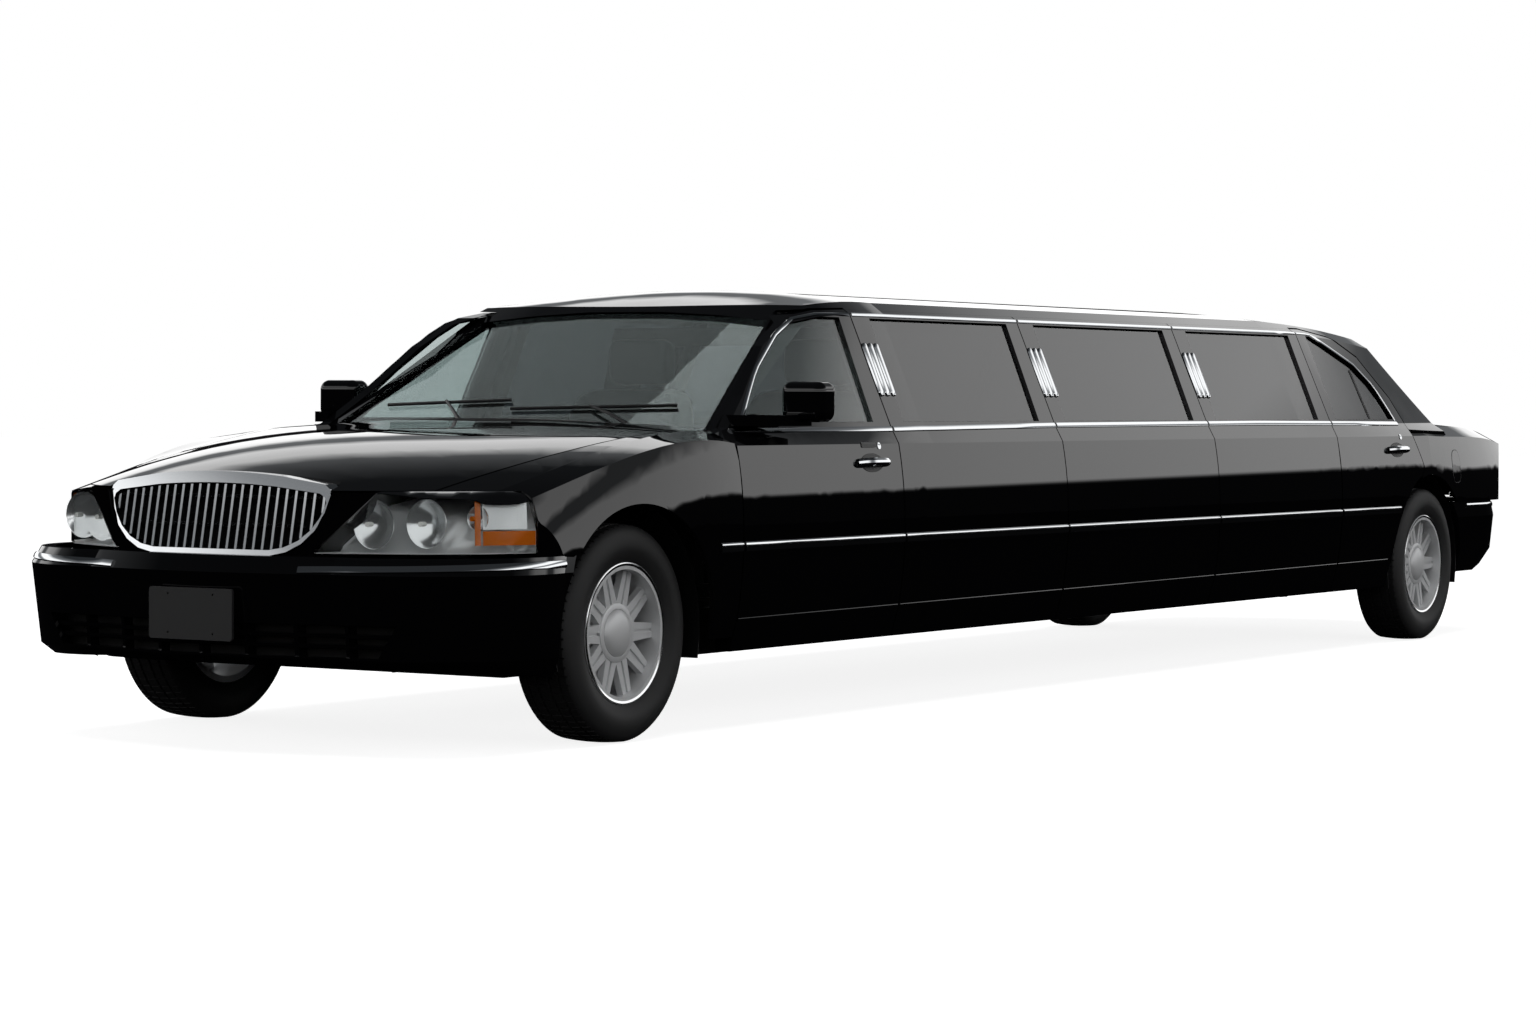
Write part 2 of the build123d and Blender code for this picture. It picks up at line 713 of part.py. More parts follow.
def lid_room(grow):
    """Room of the boot lid: the deck and the narrower rear face under it."""
    deck = block(lid_front_x - grow, rear_end_x, -lid_half_width - grow, lid_half_width + grow,
                 lid_corner_z - grow, height)
    face = block(tail_x - end_depth, rear_end_x, -lid_face_half_width - grow, lid_face_half_width + grow,
                 lid_bottom_z - grow, height)
    return deck + face


def tail_lamp_room(grow):
    """Room of the two tail lamps at the rear corners."""
    whole = block(tail_lamp_front_x - grow, rear_end_x, -width, width, tail_lamp_bottom - grow,
                  lid_corner_z - shut_gap)
    middle = lid_face_half_width + shut_gap + joint_gap - grow
    return whole - block(0, rear_end_x, -middle, middle, 0, height)


tail_shell = rear_shell + straight_shell(quarter_front_x, straight_rear_x, skin)
low_rear = block(rear_axle_x + arch_radius - 120.0, rear_end_x, -width, width, -overrun, rear_bumper_top + seat_gap)
quarters = tail_shell - lid_room(shut_gap) - tail_lamp_room(joint_gap) - rear_arch - low_rear
quarters = quarters - rear_door_room - glasshouse
quarters = quarters - block(quarter_front_x - 1, door_rear_x - 215.0, -width, width, -overrun, height)
quarters = quarters - block(quarter_front_x - 1, backlight_foot_x - 350.0, -lid_half_width, lid_half_width, 0, height)
save(quarters, "quarters")

lid_inner = body_end(rear_section_shares, straight_rear_x, tail_x, 1, tail_plan_shares, bonnet_thickness)
lid_hinge_x = lid_front_x + 70.0
lid_hinge_y = 600.0
lid_hinge_z = 955.0
# the lid's front edge is set back, as it swings forward over its hinges before it drops
lid_setback = 14.0
with BuildPart() as boot_lid:
    add((rear_outer - lid_inner) & lid_room(0))
    add(block(lid_front_x - overrun, lid_front_x + lid_setback, -width, width, 0, height), mode=Mode.SUBTRACT)
    add(lid_eyes(lid_hinge_x, lid_hinge_y, lid_hinge_z, lid_hinge_z + 45.0))
save(boot_lid.part, "boot_lid")
lamp_block = rear_outer - body_end(rear_section_shares, straight_rear_x, tail_x, 1, tail_plan_shares, 55.0)
save(lamp_block & tail_lamp_room(0), "tail_lamps")

# Roof with the windscreen and rear pillars, and the two end windows
screen_lower = (775.0, belt_height + 4.0)
screen_upper = (612.0, window_top_height - 30.0)
back_lower = (735.0, belt_height + 36.0)
back_upper = (600.0, window_top_height - 24.0)
screen_top_points = [(400.0, window_top_height - 9.0), (160.0, window_top_height + 4.0)]
screen_outline = both([(screen_lower[0], glass_foot_z), screen_lower, screen_upper, *screen_top_points])
pane_foot_z = 990.0
back_outline = both([back_lower, back_upper])
screen_hole = front_prism(screen_outline, screen_foot_x - overrun, header_x)
back_hole = front_prism(back_outline, rear_header_x, rear_end_x)
roof_shell = glasshouse - greenhouse(frame_thickness)
side_room = block(stretch_front_x - shut_gap, stretch_rear_x + shut_gap, -width, width, 0, seam_top_z + seat_gap)
with BuildPart() as sweep_room:
    with BuildSketch(cross_plane(bonnet_rear_x)):
        add(body_section(bonnet_rear_x, straight_shares, 0))
    extrude(amount=cowl_end_x - bonnet_rear_x)
    with BuildSketch(side_plane(bonnet_rear_half_width + shut_gap)):
        with Locations((bonnet_hinge_x, bonnet_hinge_z)):
            Circle(bonnet_sweep_radius)
    extrude(amount=2 * (bonnet_rear_half_width + shut_gap), mode=Mode.INTERSECT)
roof = roof_shell - screen_hole - back_hole - front_door_room - rear_door_room - (side_room - sides_only)
roof = roof - sweep_room.part
save(roof, "roof")
pane_shell = greenhouse(glass_inset) - greenhouse(glass_inset + glass_thickness)
screen_pane = both([(screen_lower[0] - seat_gap, pane_foot_z), (screen_lower[0] - seat_gap, screen_lower[1]),
                    (screen_upper[0] - seat_gap, screen_upper[1] - seat_gap),
                    *[(y, z - seat_gap) for y, z in screen_top_points]])
save(pane_shell & front_prism(screen_pane, screen_foot_x - overrun, header_x), "windscreen")
save(pane_shell & front_prism(both([(back_lower[0] - seat_gap, back_lower[1] + seat_gap),
                                    (back_upper[0] - seat_gap, back_upper[1] - seat_gap)]),
                              rear_header_x, rear_end_x), "rear_window")
cowl_half_width = 600.0
cowl_drop = 6.0
cowl_depth = 75.0
tray_z = 872.0
plate = 12.0
with BuildPart() as cowl_box:
    with BuildSketch(cross_plane(bonnet_rear_x)):
        add(body_section(bonnet_rear_x, straight_shares, cowl_drop))
    extrude(amount=cowl_gap + cowl_depth)
cowl = cowl_box.part & block(-length, 0, -cowl_half_width, cowl_half_width, tray_z + plate + seat_gap, height)
screen_room = greenhouse(glass_inset - seat_gap) & block(-length, 0, -width, width, pane_foot_z - seat_gap, height)
save(cowl - bonnet_plan(cowl_gap, 0) - screen_room, "cowl")

# Bumpers: each lofts through plan outlines at a few heights
# columns: height, set-back of the tip, half width
front_bumper_levels = [(228.0, 120.0, 905.0), (300.0, 25.0, 940.0), (560.0, 0.0, 960.0), (bumper_top, 32.0, 945.0)]
rear_bumper_levels = [(300.0, 130.0, 925.0), (400.0, 20.0, 955.0), (560.0, 0.0, 965.0), (rear_bumper_top, 28.0, 960.0)]
bumper_wall = 28.0
bumper_brow = 55.0
# columns: by the way a bumper's side runs, its corner's set-back and half-width share
bumper_corners = {1: (190.0, 0.87), -1: (240.0, 0.81)}
bumper_front_share = 0.62
bumper_length = 620.0
bumper_reach = 1100.0


def bumper_solid(levels, tip, way, inset):
    """The closed form of one bumper, drawn in by inset and open behind if it is."""
    low = overrun if inset else 0
    corner_back, corner_share = bumper_corners[way]
    with BuildPart() as solid:
        for number, (z, back, half) in enumerate(levels):
            x = tip + way * (back + inset)
            half = half - inset
            z = z - low if number == 0 else z - inset * (number == len(levels) - 1)
            corner = (x + way * corner_back, half * corner_share)
            face_x = corner[0] - way * corner_back * bumper_front_share
            side_x = x + way * bumper_length
            end_x = tip + way * (bumper_reach + low)
            with BuildSketch(Plane.XY.offset(z)):
                with BuildLine():
                    ThreePointArc((face_x, -half / 2), (x, 0), (face_x, half / 2))
                    ThreePointArc((face_x, half / 2), corner, (side_x, half))
                    Polyline((side_x, half), (end_x, half), (end_x, -half), (side_x, -half))
                    ThreePointArc((side_x, -half), (corner[0], -corner[1]), (face_x, -half / 2))
                make_face()
        loft(ruled=True)
    return solid.part


def bumper_shell(levels, tip, way):
    """A bumper's wall with a narrow top edge, open below, behind and above."""
    well = [(z + overrun * (number == len(levels) - 1), back, half) for number, (z, back, half) in enumerate(levels)]
    shell = bumper_solid(levels, tip, way, 0) - bumper_solid(levels, tip, way, bumper_wall)
    return shell - bumper_solid(well, tip, way, bumper_brow)


# Plate holder: a bare plastic plate with four holes on two ribs, the foremost piece of the car
holder_half_width = 165.0
holder_low = 350.0
holder_high = 510.0
holder_thickness = 10.0
holder_rib = 24.0
plate_hole_radius = 3.5
plate_hole_spacing_y = 177.8
plate_hole_spacing_z = 120.7
bumper_tip_x = front_end_x + 16.0

# Lower intake of the front bumper: its opening, slats and uprights
intake_half_width = 690.0
intake_low = 308.0
intake_high = 406.0
slat_count = 2
slat_height = 12.0
slat_inset = 12.0
slat_depth = 40.0
upright_count = 7
front_bumper_solid = bumper_solid(front_bumper_levels, bumper_tip_x, 1, 0)
intake = front_prism(both([(intake_half_width - 60.0, intake_low), (intake_half_width, intake_high)]),
                     front_end_x - overrun, front_end_x + overrun)
front_bumper_shell = bumper_shell(front_bumper_levels, bumper_tip_x, 1) - intake - front_arch
front_bumper_shell = front_bumper_shell - block(front_axle_x - 200.0, length, -width, width, -overrun, height)
pitch = (intake_high - intake_low) / (slat_count + 1)
with BuildPart() as slat_slabs:
    for number in range(slat_count):
        z = intake_low + (number + 1) * pitch
        add(block(-length, 0, -intake_half_width, intake_half_width, z - slat_height / 2, z + slat_height / 2))
    for number in range(upright_count):
        y = (number - (upright_count - 1) / 2) * 2 * intake_half_width / (upright_count + 1)
        add(block(-length, 0, y - slat_height / 2, y + slat_height / 2, intake_low - bumper_wall,
                  intake_high + bumper_wall / 2))
slat_band = bumper_solid(front_bumper_levels, bumper_tip_x, 1, slat_inset)
slat_band = slat_band - bumper_solid(front_bumper_levels, bumper_tip_x, 1, slat_inset + slat_depth)
# Body-coloured filler between the grille and each headlamp, in one piece with the bumper
filler_depth = 60.0
filler_reach = 240.0
filler_gap = 4.0
filler = front_outer - body_end(front_section_shares, clip_rear_x, nose_x, -1, nose_plan_shares, filler_depth)
filler = filler & between_lamps(-filler_gap)
filler = filler & block(nose_x - overrun, nose_x + filler_reach, -width, width, bumper_top - bumper_wall / 2,
                        lamp_top - filler_gap)
holder_mid_z = (holder_low + holder_high) / 2
with BuildPart() as holder:
    with BuildSketch(cross_plane(front_end_x)):
        with Locations((0, holder_mid_z)):
            RectangleRounded(2 * holder_half_width, holder_high - holder_low, holder_thickness)
            with GridLocations(plate_hole_spacing_y, plate_hole_spacing_z, 2, 2):
                Circle(plate_hole_radius, mode=Mode.SUBTRACT)
    extrude(amount=holder_thickness)
    for side in SIDES.values():
        y = side * (holder_half_width - 2 * holder_rib)
        add(block(front_end_x + holder_thickness, bumper_tip_x + bumper_wall, y - holder_rib / 2, y + holder_rib / 2,
                  intake_high + holder_rib / 2, holder_high - holder_rib / 2))
save(holder.part - front_bumper_solid, "plate_holder")
rear_bumper = bumper_shell(rear_bumper_levels, rear_end_x, -1) - rear_arch
rear_bumper = rear_bumper - block(-length, rear_axle_x + 200.0, -width, width, -overrun, height)
save(rear_bumper, "rear_bumper")

# Grille: a chrome frame round a fan of upright bars, leaning and bowed in plan
grille_top_x = front_end_x + 128.0
grille_foot_x = front_end_x + 78.0
grille_depth = 55.0
grille_bow = 62.0
grille_half_width = 440.0
grille_top_z = 868.0
grille_foot_z = bumper_top + seat_gap
grille_rim_share = 0.86
grille_bars = 24
bar_width = 9.0
bar_depth = 34.0
# columns: half-width share, height share, of the outline's right half from foot to top
grille_outline_shares = [(0.54, 0.00), (0.67, 0.045), (0.79, 0.15), (0.89, 0.31), (0.96, 0.51), (1.00, 0.72),
                         (0.985, 0.80), (0.94, 0.86), (0.55, 0.955)]
grille_widest = grille_outline_shares[5]


def grille_bowed(inset):
    """The leaning, bowed space in front of which the grille's face lies."""
    with BuildPart() as solid:
        for z, x in ((grille_foot_z - overrun / 10, grille_foot_x), (grille_top_z + overrun / 10, grille_top_x)):
            with BuildSketch(Plane.XY.offset(z)):
                with BuildLine():
                    ThreePointArc((x + grille_bow + inset, width / 3), (x + inset, 0),
                                  (x + grille_bow + inset, -width / 3))
                    Polyline((x + grille_bow + inset, -width / 3), (x + overrun, -width / 3),
                             (x + overrun, width / 3), (x + grille_bow + inset, width / 3))
                make_face()
        loft()
    return solid.part


def grille_prism(rim):
    """A prism along the car over the grille's front outline, drawn in by a rim."""
    tall = grille_top_z - grille_foot_z
    half = grille_half_width - rim
    foot = grille_foot_z + rim
    tall = tall - rim * 3.2
    right = [(half * along, foot + tall * up) for along, up in grille_outline_shares]
    with BuildPart() as prism:
        with BuildSketch(cross_plane(front_end_x - overrun)):
            with BuildLine():
                Line((-right[0][0], right[0][1]), right[0])
                Polyline(*right)
                ThreePointArc(right[-1], (0, foot + tall), (-right[-1][0], right[-1][1]))
                Polyline(*[(-y, z) for y, z in reversed(right)])
            make_face()
        extrude(amount=3 * overrun)
    return prism.part


grille_rim = 16.0
grille_band = grille_bowed(0) - grille_bowed(grille_depth)
bar_band = grille_bowed(bar_width) - grille_bowed(bar_width + bar_depth)
bar_seat = grille_rim + seat_gap
rod_height = 10.0
rod_row_shares = [(0.36, 0.84), (0.70, 0.98)]


def grille_edges(y):
    """Lowest and highest point inside the grille's rim at y."""
    tall = grille_top_z - grille_foot_z - 3.2 * bar_seat
    half = grille_half_width - bar_seat
    foot = grille_foot_z + bar_seat
    share = abs(y) / half
    low_y, high_y = grille_outline_shares[0][0], grille_outline_shares[-1][0]
    low = foot
    if share > low_y:
        lower = [row for row in grille_outline_shares if row[1] <= grille_widest[1]]
        for (y0, z0), (y1, z1) in zip(lower, lower[1:]):
            if y0 <= share <= y1:
                low = foot + tall * (z0 + (z1 - z0) * (share - y0) / (y1 - y0))
    high = foot + tall * (1.0 - (1.0 - grille_outline_shares[-1][1]) * (share / high_y) ** 2)
    if share > high_y:
        upper = [row for row in grille_outline_shares if row[1] >= grille_widest[1]]
        for (y0, z0), (y1, z1) in zip(upper, upper[1:]):
            if y1 <= share <= y0:
                high = foot + tall * (z1 + (z0 - z1) * (share - y1) / (y0 - y1))
    return low, high


def grille_face_x(y, z, inset):
    """Where the grille's leaning, bowed face lies at y and z, set back by inset."""
    lean = (z - grille_foot_z) / (grille_top_z - grille_foot_z)
    bow = grille_bow * (y / (width / 3)) ** 2
    return grille_foot_x + (grille_top_x - grille_foot_x) * lean + bow + inset


with BuildPart() as grille:
    add((grille_prism(0) - grille_prism(grille_rim)) & (grille_bowed(0) - grille_bowed(grille_depth)))
    for number in range(grille_bars + 1):
        y = (number - grille_bars / 2) * 2 * (grille_half_width - grille_rim) / (grille_bars + 1)
        low, high = grille_edges(abs(y) + bar_width / 2)
        outline = [(grille_face_x(y, z, bar_width + back), z)
                   for z, back in ((low, 0), (high, 0), (high, bar_depth), (low, bar_depth))]
        add(side_prism(outline, y - bar_width / 2, y + bar_width / 2))
    for share, reach in rod_row_shares:
        z = grille_foot_z + share * (grille_top_z - grille_foot_z)
        rod_half = reach * (grille_half_width - bar_seat)
        x = grille_face_x(rod_half, z, bar_width)
        add(block(x, x + bar_width, -rod_half, rod_half, z - rod_height / 2, z + rod_height / 2))
save(grille.part, "grille")
filler = filler - grille_prism(-filler_gap)
with BuildPart() as front_bumper:
    add(front_bumper_shell)
    add(slat_band & slat_slabs.part)
    add(filler)
save(front_bumper.part, "front_bumper")
bonnet_grille_gap = 12.0
grille_room = grille_prism(-0.75 * shut_gap) - grille_bowed(grille_depth + bonnet_grille_gap)
save(bonnet.part - grille_room, "bonnet")

# Wheels: a road tyre on a ten-spoke alloy rim, with the brake disc behind the spokes
rim_radius = 231.0
rim_half_width = 96.0
flange_width = 8.0
bead_radius = 219.0
bead_half_width = 86.0
tread_half_width = 88.0
tread_edge_drop = 5.0
shoulder_radius = 331.0
tyre_shoulder_half_width = 104.0
barrel_radius = 205.0
barrel_wall = 8.0
spokes = 10
spoke_root_width = 40.0
spoke_tip_width = 66.0
spoke_thickness = 24.0
spoke_face = 62.0
spoke_dish = 16.0
groove_width = 10.0
groove_depth = 8.0
hub_radius = 74.0
cap_radius = 54.0
cap_height = 12.0
disc_radius = 152.0
disc_thickness = 26.0
disc_face = 30.0
stub_radius = 22.0
stub_depth = 62.0


def tyre(x, y):
    """A radial tyre, one turned ring that sits on the rim's bead seats."""
    with BuildPart() as ring:
        with BuildSketch(Plane(origin=(x, y, tyre_radius), x_dir=(0, 1, 0), z_dir=(1, 0, 0))):
            with BuildLine():
                right = [(bead_half_width, bead_radius + seat_gap), (bead_half_width, rim_radius - flange_width / 2 + seat_gap)]
                bulge = (tyre_width / 2, (rim_radius + shoulder_radius) / 2)
                shoulder = (tyre_shoulder_half_width, shoulder_radius)
                edge = (tread_half_width, tyre_radius - tread_edge_drop)
                flip = [(-a, b) for a, b in (right[0], right[1], bulge, shoulder, edge)]
                Line(flip[0], right[0])
                Line(right[0], right[1])
                ThreePointArc(right[1], bulge, shoulder)
                Line(shoulder, edge)
                ThreePointArc(edge, (0, tyre_radius), flip[4])
                Line(flip[4], flip[3])
                ThreePointArc(flip[3], flip[2], flip[1])
                Line(flip[1], flip[0])
            make_face()
        revolve(axis=Axis((x, y, tyre_radius), (0, 1, 0)))
    return ring.part


def rim(x, y, side):
    """A wheel rim: turned barrel with flanges, hub, cap and grooved spokes."""
    out = Plane(origin=(x, y, tyre_radius), x_dir=(1, 0, 0), z_dir=(0, side, 0))
    section = Plane(origin=(x, y, tyre_radius), x_dir=(0, side, 0), z_dir=(side, 0, 0))
    with BuildPart() as wheel:
        with BuildSketch(section):
            with BuildLine():
                Polyline((-rim_half_width, barrel_radius), (rim_half_width, barrel_radius),
                         (rim_half_width, rim_radius - flange_width / 2), (bead_half_width + 1.0, rim_radius - flange_width / 2),
                         (bead_half_width + 1.0, bead_radius), (-bead_half_width - 1.0, bead_radius),
                         (-bead_half_width - 1.0, rim_radius - flange_width / 2), (-rim_half_width, rim_radius - flange_width / 2),
                         close=True)
            make_face()
        revolve(axis=Axis((x, y, tyre_radius), (0, 1, 0)))
        with BuildSketch(out.offset(spoke_face - spoke_thickness)):
            Circle(hub_radius)
            with PolarLocations(0, spokes):
                with Locations(((hub_radius + barrel_radius) / 2, 0)):
                    Trapezoid(spoke_tip_width, barrel_radius - hub_radius + 2 * barrel_wall, 94.0, rotation=90)
        extrude(amount=spoke_thickness)
        with BuildSketch(out.offset(spoke_face)):
            with PolarLocations((hub_radius + barrel_radius) / 2, spokes):
                Rectangle(barrel_radius - hub_radius, groove_width)
        extrude(amount=-groove_depth, mode=Mode.SUBTRACT)
        with BuildSketch(out.offset(spoke_face)):
            Circle(cap_radius)
        extrude(amount=cap_height)
        with BuildSketch(out.offset(spoke_face - spoke_thickness)):
            Circle(disc_radius / 2)
        extrude(amount=-(spoke_face - spoke_thickness - disc_face))
        with BuildSketch(out.offset(disc_face)):
            Circle(disc_radius)
        extrude(amount=-disc_thickness)
        with BuildSketch(out.offset(disc_face - disc_thickness)):
            Circle(stub_radius + seat_gap)
        extrude(amount=stub_depth, mode=Mode.SUBTRACT)
    return wheel.part


for row, (x, y) in AXLES.items():
    for side_name, side in SIDES.items():
        save(tyre(x, side * y), "tyre_" + row + "_" + side_name)
        save(rim(x, side * y, side), "rim_" + row + "_" + side_name)


# Front running gear: knuckles that steer on a kingpin, and the arms and crossmember that carry them
kingpin_inboard = 62.0
kingpin_y = front_track / 2 - kingpin_inboard
kingpin_radius = 17.0
kingpin_end_radius = 10.0
kingpin_half_height = 118.0
arm_eye_radius = 24.0
arm_thickness = 20.0
upright_half_width = 45.0
upright_half_height = 80.0
upright_thickness = 18.0
running_gap = 8.0
rail_y = 430.0
rail_width = 60.0
rail_height_low = 205.0
rail_depth = 94.0
front_rail_lift = 160.0
rear_rail_lift = 295.0
tail_rail_lift = 230.0
floor_z = rail_height_low + rail_depth + joint_gap / 2
floor_thickness = 12.0
crossmember_half = 55.0
arm_root_y = rail_y + rail_width / 2 + seat_gap
arm_plate = 12.0
for side_name, side in SIDES.items():
    y = side * kingpin_y
    face_y = side * (front_track / 2 + disc_face - disc_thickness - running_gap)
    with BuildPart() as knuckle:
        with BuildSketch(Plane.XY.offset(tyre_radius - kingpin_half_height + arm_thickness + joint_gap)):
            with Locations((front_axle_x, y)):
                Circle(kingpin_radius)
        extrude(amount=2 * (kingpin_half_height - arm_thickness - joint_gap))
        with BuildSketch(Plane.XY.offset(tyre_radius - kingpin_half_height)):
            with Locations((front_axle_x, y)):
                Circle(kingpin_end_radius)
        extrude(amount=2 * kingpin_half_height)
        low_y, high_y = sorted((face_y - side * upright_thickness, face_y))
        add(block(front_axle_x - upright_half_width, front_axle_x + upright_half_width, low_y, high_y,
                  tyre_radius - upright_half_height, tyre_radius + upright_half_height))
        low_y, high_y = sorted((y, face_y))
        add(block(front_axle_x - kingpin_radius, front_axle_x + kingpin_radius, low_y, high_y,
                  tyre_radius - upright_half_height, tyre_radius + upright_half_height))
        stub = Plane(origin=(front_axle_x, face_y, tyre_radius), x_dir=(1, 0, 0), z_dir=(0, side, 0))
        with BuildSketch(stub):
            Circle(stub_radius)
        extrude(amount=running_gap + stub_depth - joint_gap)
    save(knuckle.part, "knuckle_" + side_name)

with BuildPart() as suspension:
    add(block(front_axle_x - crossmember_half, front_axle_x + crossmember_half, -arm_root_y - arm_plate,
              arm_root_y + arm_plate, tyre_radius - kingpin_half_height - 2 * arm_thickness,
              rail_height_low + front_rail_lift - seat_gap))
    for side in SIDES.values():
        for foot in (tyre_radius - kingpin_half_height, tyre_radius + kingpin_half_height - arm_thickness):
            with BuildSketch(Plane.XY.offset(foot)):
                with Locations((front_axle_x, side * kingpin_y)):
                    Circle(arm_eye_radius)
                with Locations((front_axle_x, side * (kingpin_y + arm_root_y) / 2)):
                    Rectangle(2 * arm_eye_radius, kingpin_y - arm_root_y)
                with Locations((front_axle_x, side * kingpin_y)):
                    Circle(kingpin_end_radius + seat_gap, mode=Mode.SUBTRACT)
            extrude(amount=arm_thickness)
        add(block(front_axle_x - arm_eye_radius, front_axle_x + arm_eye_radius,
                  side * arm_root_y, side * (arm_root_y + arm_plate),
                  tyre_radius - kingpin_half_height, tyre_radius + kingpin_half_height))
save(suspension.part, "front_suspension")

# Rear axle: tube, final drive, stub ends, and the trailing arms down from the frame
axle_tube_radius = 38.0
drive_radius = 135.0
drive_half_width = 110.0
trailing_length = 620.0
trailing_half = 22.0
trailing_front_z = 232.0
trailing_y = rail_y + rail_width + 20.0
spring_radius = 52.0
with BuildPart() as rear_axle:
    inner_y = rear_track / 2 + disc_face - disc_thickness - running_gap
    with BuildSketch(side_plane(inner_y)):
        with Locations((rear_axle_x, tyre_radius)):
            Circle(axle_tube_radius)
    extrude(amount=2 * inner_y)
    with BuildSketch(side_plane(inner_y + running_gap + stub_depth - joint_gap)):
        with Locations((rear_axle_x, tyre_radius)):
            Circle(stub_radius)
    extrude(amount=2 * (inner_y + running_gap + stub_depth - joint_gap))
    with BuildSketch(side_plane(drive_half_width)):
        with Locations((rear_axle_x, tyre_radius)):
            Circle(drive_radius)
    extrude(amount=2 * drive_half_width)
    for side in SIDES.values():
        add(side_prism([(rear_axle_x, tyre_radius - trailing_half), (rear_axle_x, tyre_radius + trailing_half),
                        (rear_axle_x - trailing_length, trailing_front_z + trailing_half),
                        (rear_axle_x - trailing_length, trailing_front_z - trailing_half)],
                       side * trailing_y - trailing_half, side * trailing_y + trailing_half))
        with BuildSketch(Plane.XY.offset(tyre_radius)):
            with Locations((rear_axle_x, side * rail_y)):
                Circle(spring_radius)
        extrude(amount=rail_height_low + rear_rail_lift - tyre_radius - seat_gap)
save(rear_axle.part, "rear_axle")

# Ladder frame: two rails with kick-ups over both axles, and crossmembers
rail_front_x = nose_x + 130.0
rail_rear_x = rear_end_x - 140.0
front_kick = (front_axle_x + 390.0, front_axle_x + 635.0)
floor_rear_x = rear_axle_x - arch_radius - 25.0
rear_kick = (floor_rear_x + 10.0, floor_rear_x + 230.0)
tail_kick = (rear_axle_x + 420.0, rear_axle_x + 560.0)
rail_line = [(rail_front_x, front_rail_lift), (front_kick[0], front_rail_lift), (front_kick[1], 0),
             (rear_kick[0], 0), (rear_kick[1], rear_rail_lift), (tail_kick[0], rear_rail_lift),
             (tail_kick[1], tail_rail_lift), (rail_rear_x, tail_rail_lift)]
crossmember_top_z = rail_height_low + front_rail_lift - seat_gap
gearbox_radius = 95.0
gearbox_length = 300.0
shaft_radius = 33.0
shaft_z = tyre_radius - 10.0
rail_outline = [(x, rail_height_low + lift) for x, lift in rail_line]
rail_outline += [(x, rail_height_low + lift + rail_depth) for x, lift in reversed(rail_line)]
crossmembers = 7
crossmember_lift = 6.0
bar_half = rail_y - rail_width / 2 - seat_gap
splice_inset = 250.0
splices = (front_kick[1] + splice_inset, rear_kick[0] - 2 * splice_inset)
with BuildPart() as frame:
    # each rail is spliced from three lengths, as the stretch leaves it
    for side in SIDES.values():
        add(side_prism(rail_outline, side * rail_y - rail_width / 2, side * rail_y + rail_width / 2))
    for x in splices:
        add(block(x, x + seat_gap, -width, width, 0, height), mode=Mode.SUBTRACT)
    for number in range(crossmembers):
        x = front_kick[1] + (rear_kick[0] - front_kick[1]) * number / (crossmembers - 1)
        add(block(x - rail_width / 2, x + rail_width / 2, -bar_half, bar_half, rail_height_low + crossmember_lift,
                  rail_height_low + rail_depth))
    for x, lift in ((rail_front_x + rail_width, front_rail_lift), (rail_rear_x - rail_width, tail_rail_lift)):
        add(block(x - rail_width / 2, x + rail_width / 2, -bar_half, bar_half, rail_height_low + lift,
                  rail_height_low + lift + rail_depth))
    for side in SIDES.values():
        add(block(rear_axle_x - trailing_length - 60.0, rear_axle_x - trailing_length - seat_gap,
                  side * (rail_y + rail_width / 2 + seat_gap), side * (trailing_y + trailing_half),
                  rail_height_low + crossmember_lift, rail_height_low + rail_depth))
save(frame.part, "frame")

# Floor: cabin floor with sills and tunnel, kick-up wall, and the boot floor
floor_front_x = door_front_x + 60.0
boot_floor_z = rail_height_low + rear_rail_lift + rail_depth + seat_gap
boot_floor_half = 690.0
boot_floor_rear_x = rail_rear_x - 125.0
tunnel_half = 150.0
tunnel_top_z = 400.0
gearbox_hump_top_z = 480.0
gearbox_hump_rear_x = floor_front_x + 330.0
sill_outer_y = sill_half_width - door_thickness - panel_extra - seat_gap
sill_inner_y = post_inner_y
with BuildPart() as floor:
    add(block(floor_front_x, floor_rear_x, -sill_inner_y, sill_inner_y, floor_z, floor_z + floor_thickness))
    for side in SIDES.values():
        add(block(floor_front_x, floor_rear_x, side * sill_inner_y, side * sill_outer_y, sill_height, sill_top_z))
    add(block(floor_front_x, floor_rear_x, -tunnel_half, tunnel_half, floor_z, tunnel_top_z))
    add(block(floor_rear_x - floor_thickness, floor_rear_x, -boot_floor_half, boot_floor_half, floor_z,
              boot_floor_z + floor_thickness))
    add(block(floor_rear_x - floor_thickness, boot_floor_rear_x, -boot_floor_half, boot_floor_half, boot_floor_z,
              boot_floor_z + floor_thickness))
    add(block(floor_front_x, gearbox_hump_rear_x, -tunnel_half, tunnel_half, floor_z, gearbox_hump_top_z))
    inner_half = tunnel_half - floor_thickness
    add(block(floor_front_x - overrun, floor_rear_x + overrun, -inner_half, inner_half, 0,
              tunnel_top_z - floor_thickness), mode=Mode.SUBTRACT)
    add(block(floor_front_x - overrun, gearbox_hump_rear_x - floor_thickness, -inner_half, inner_half, 0,
              gearbox_hump_top_z - floor_thickness), mode=Mode.SUBTRACT)
save(floor.part, "floor")

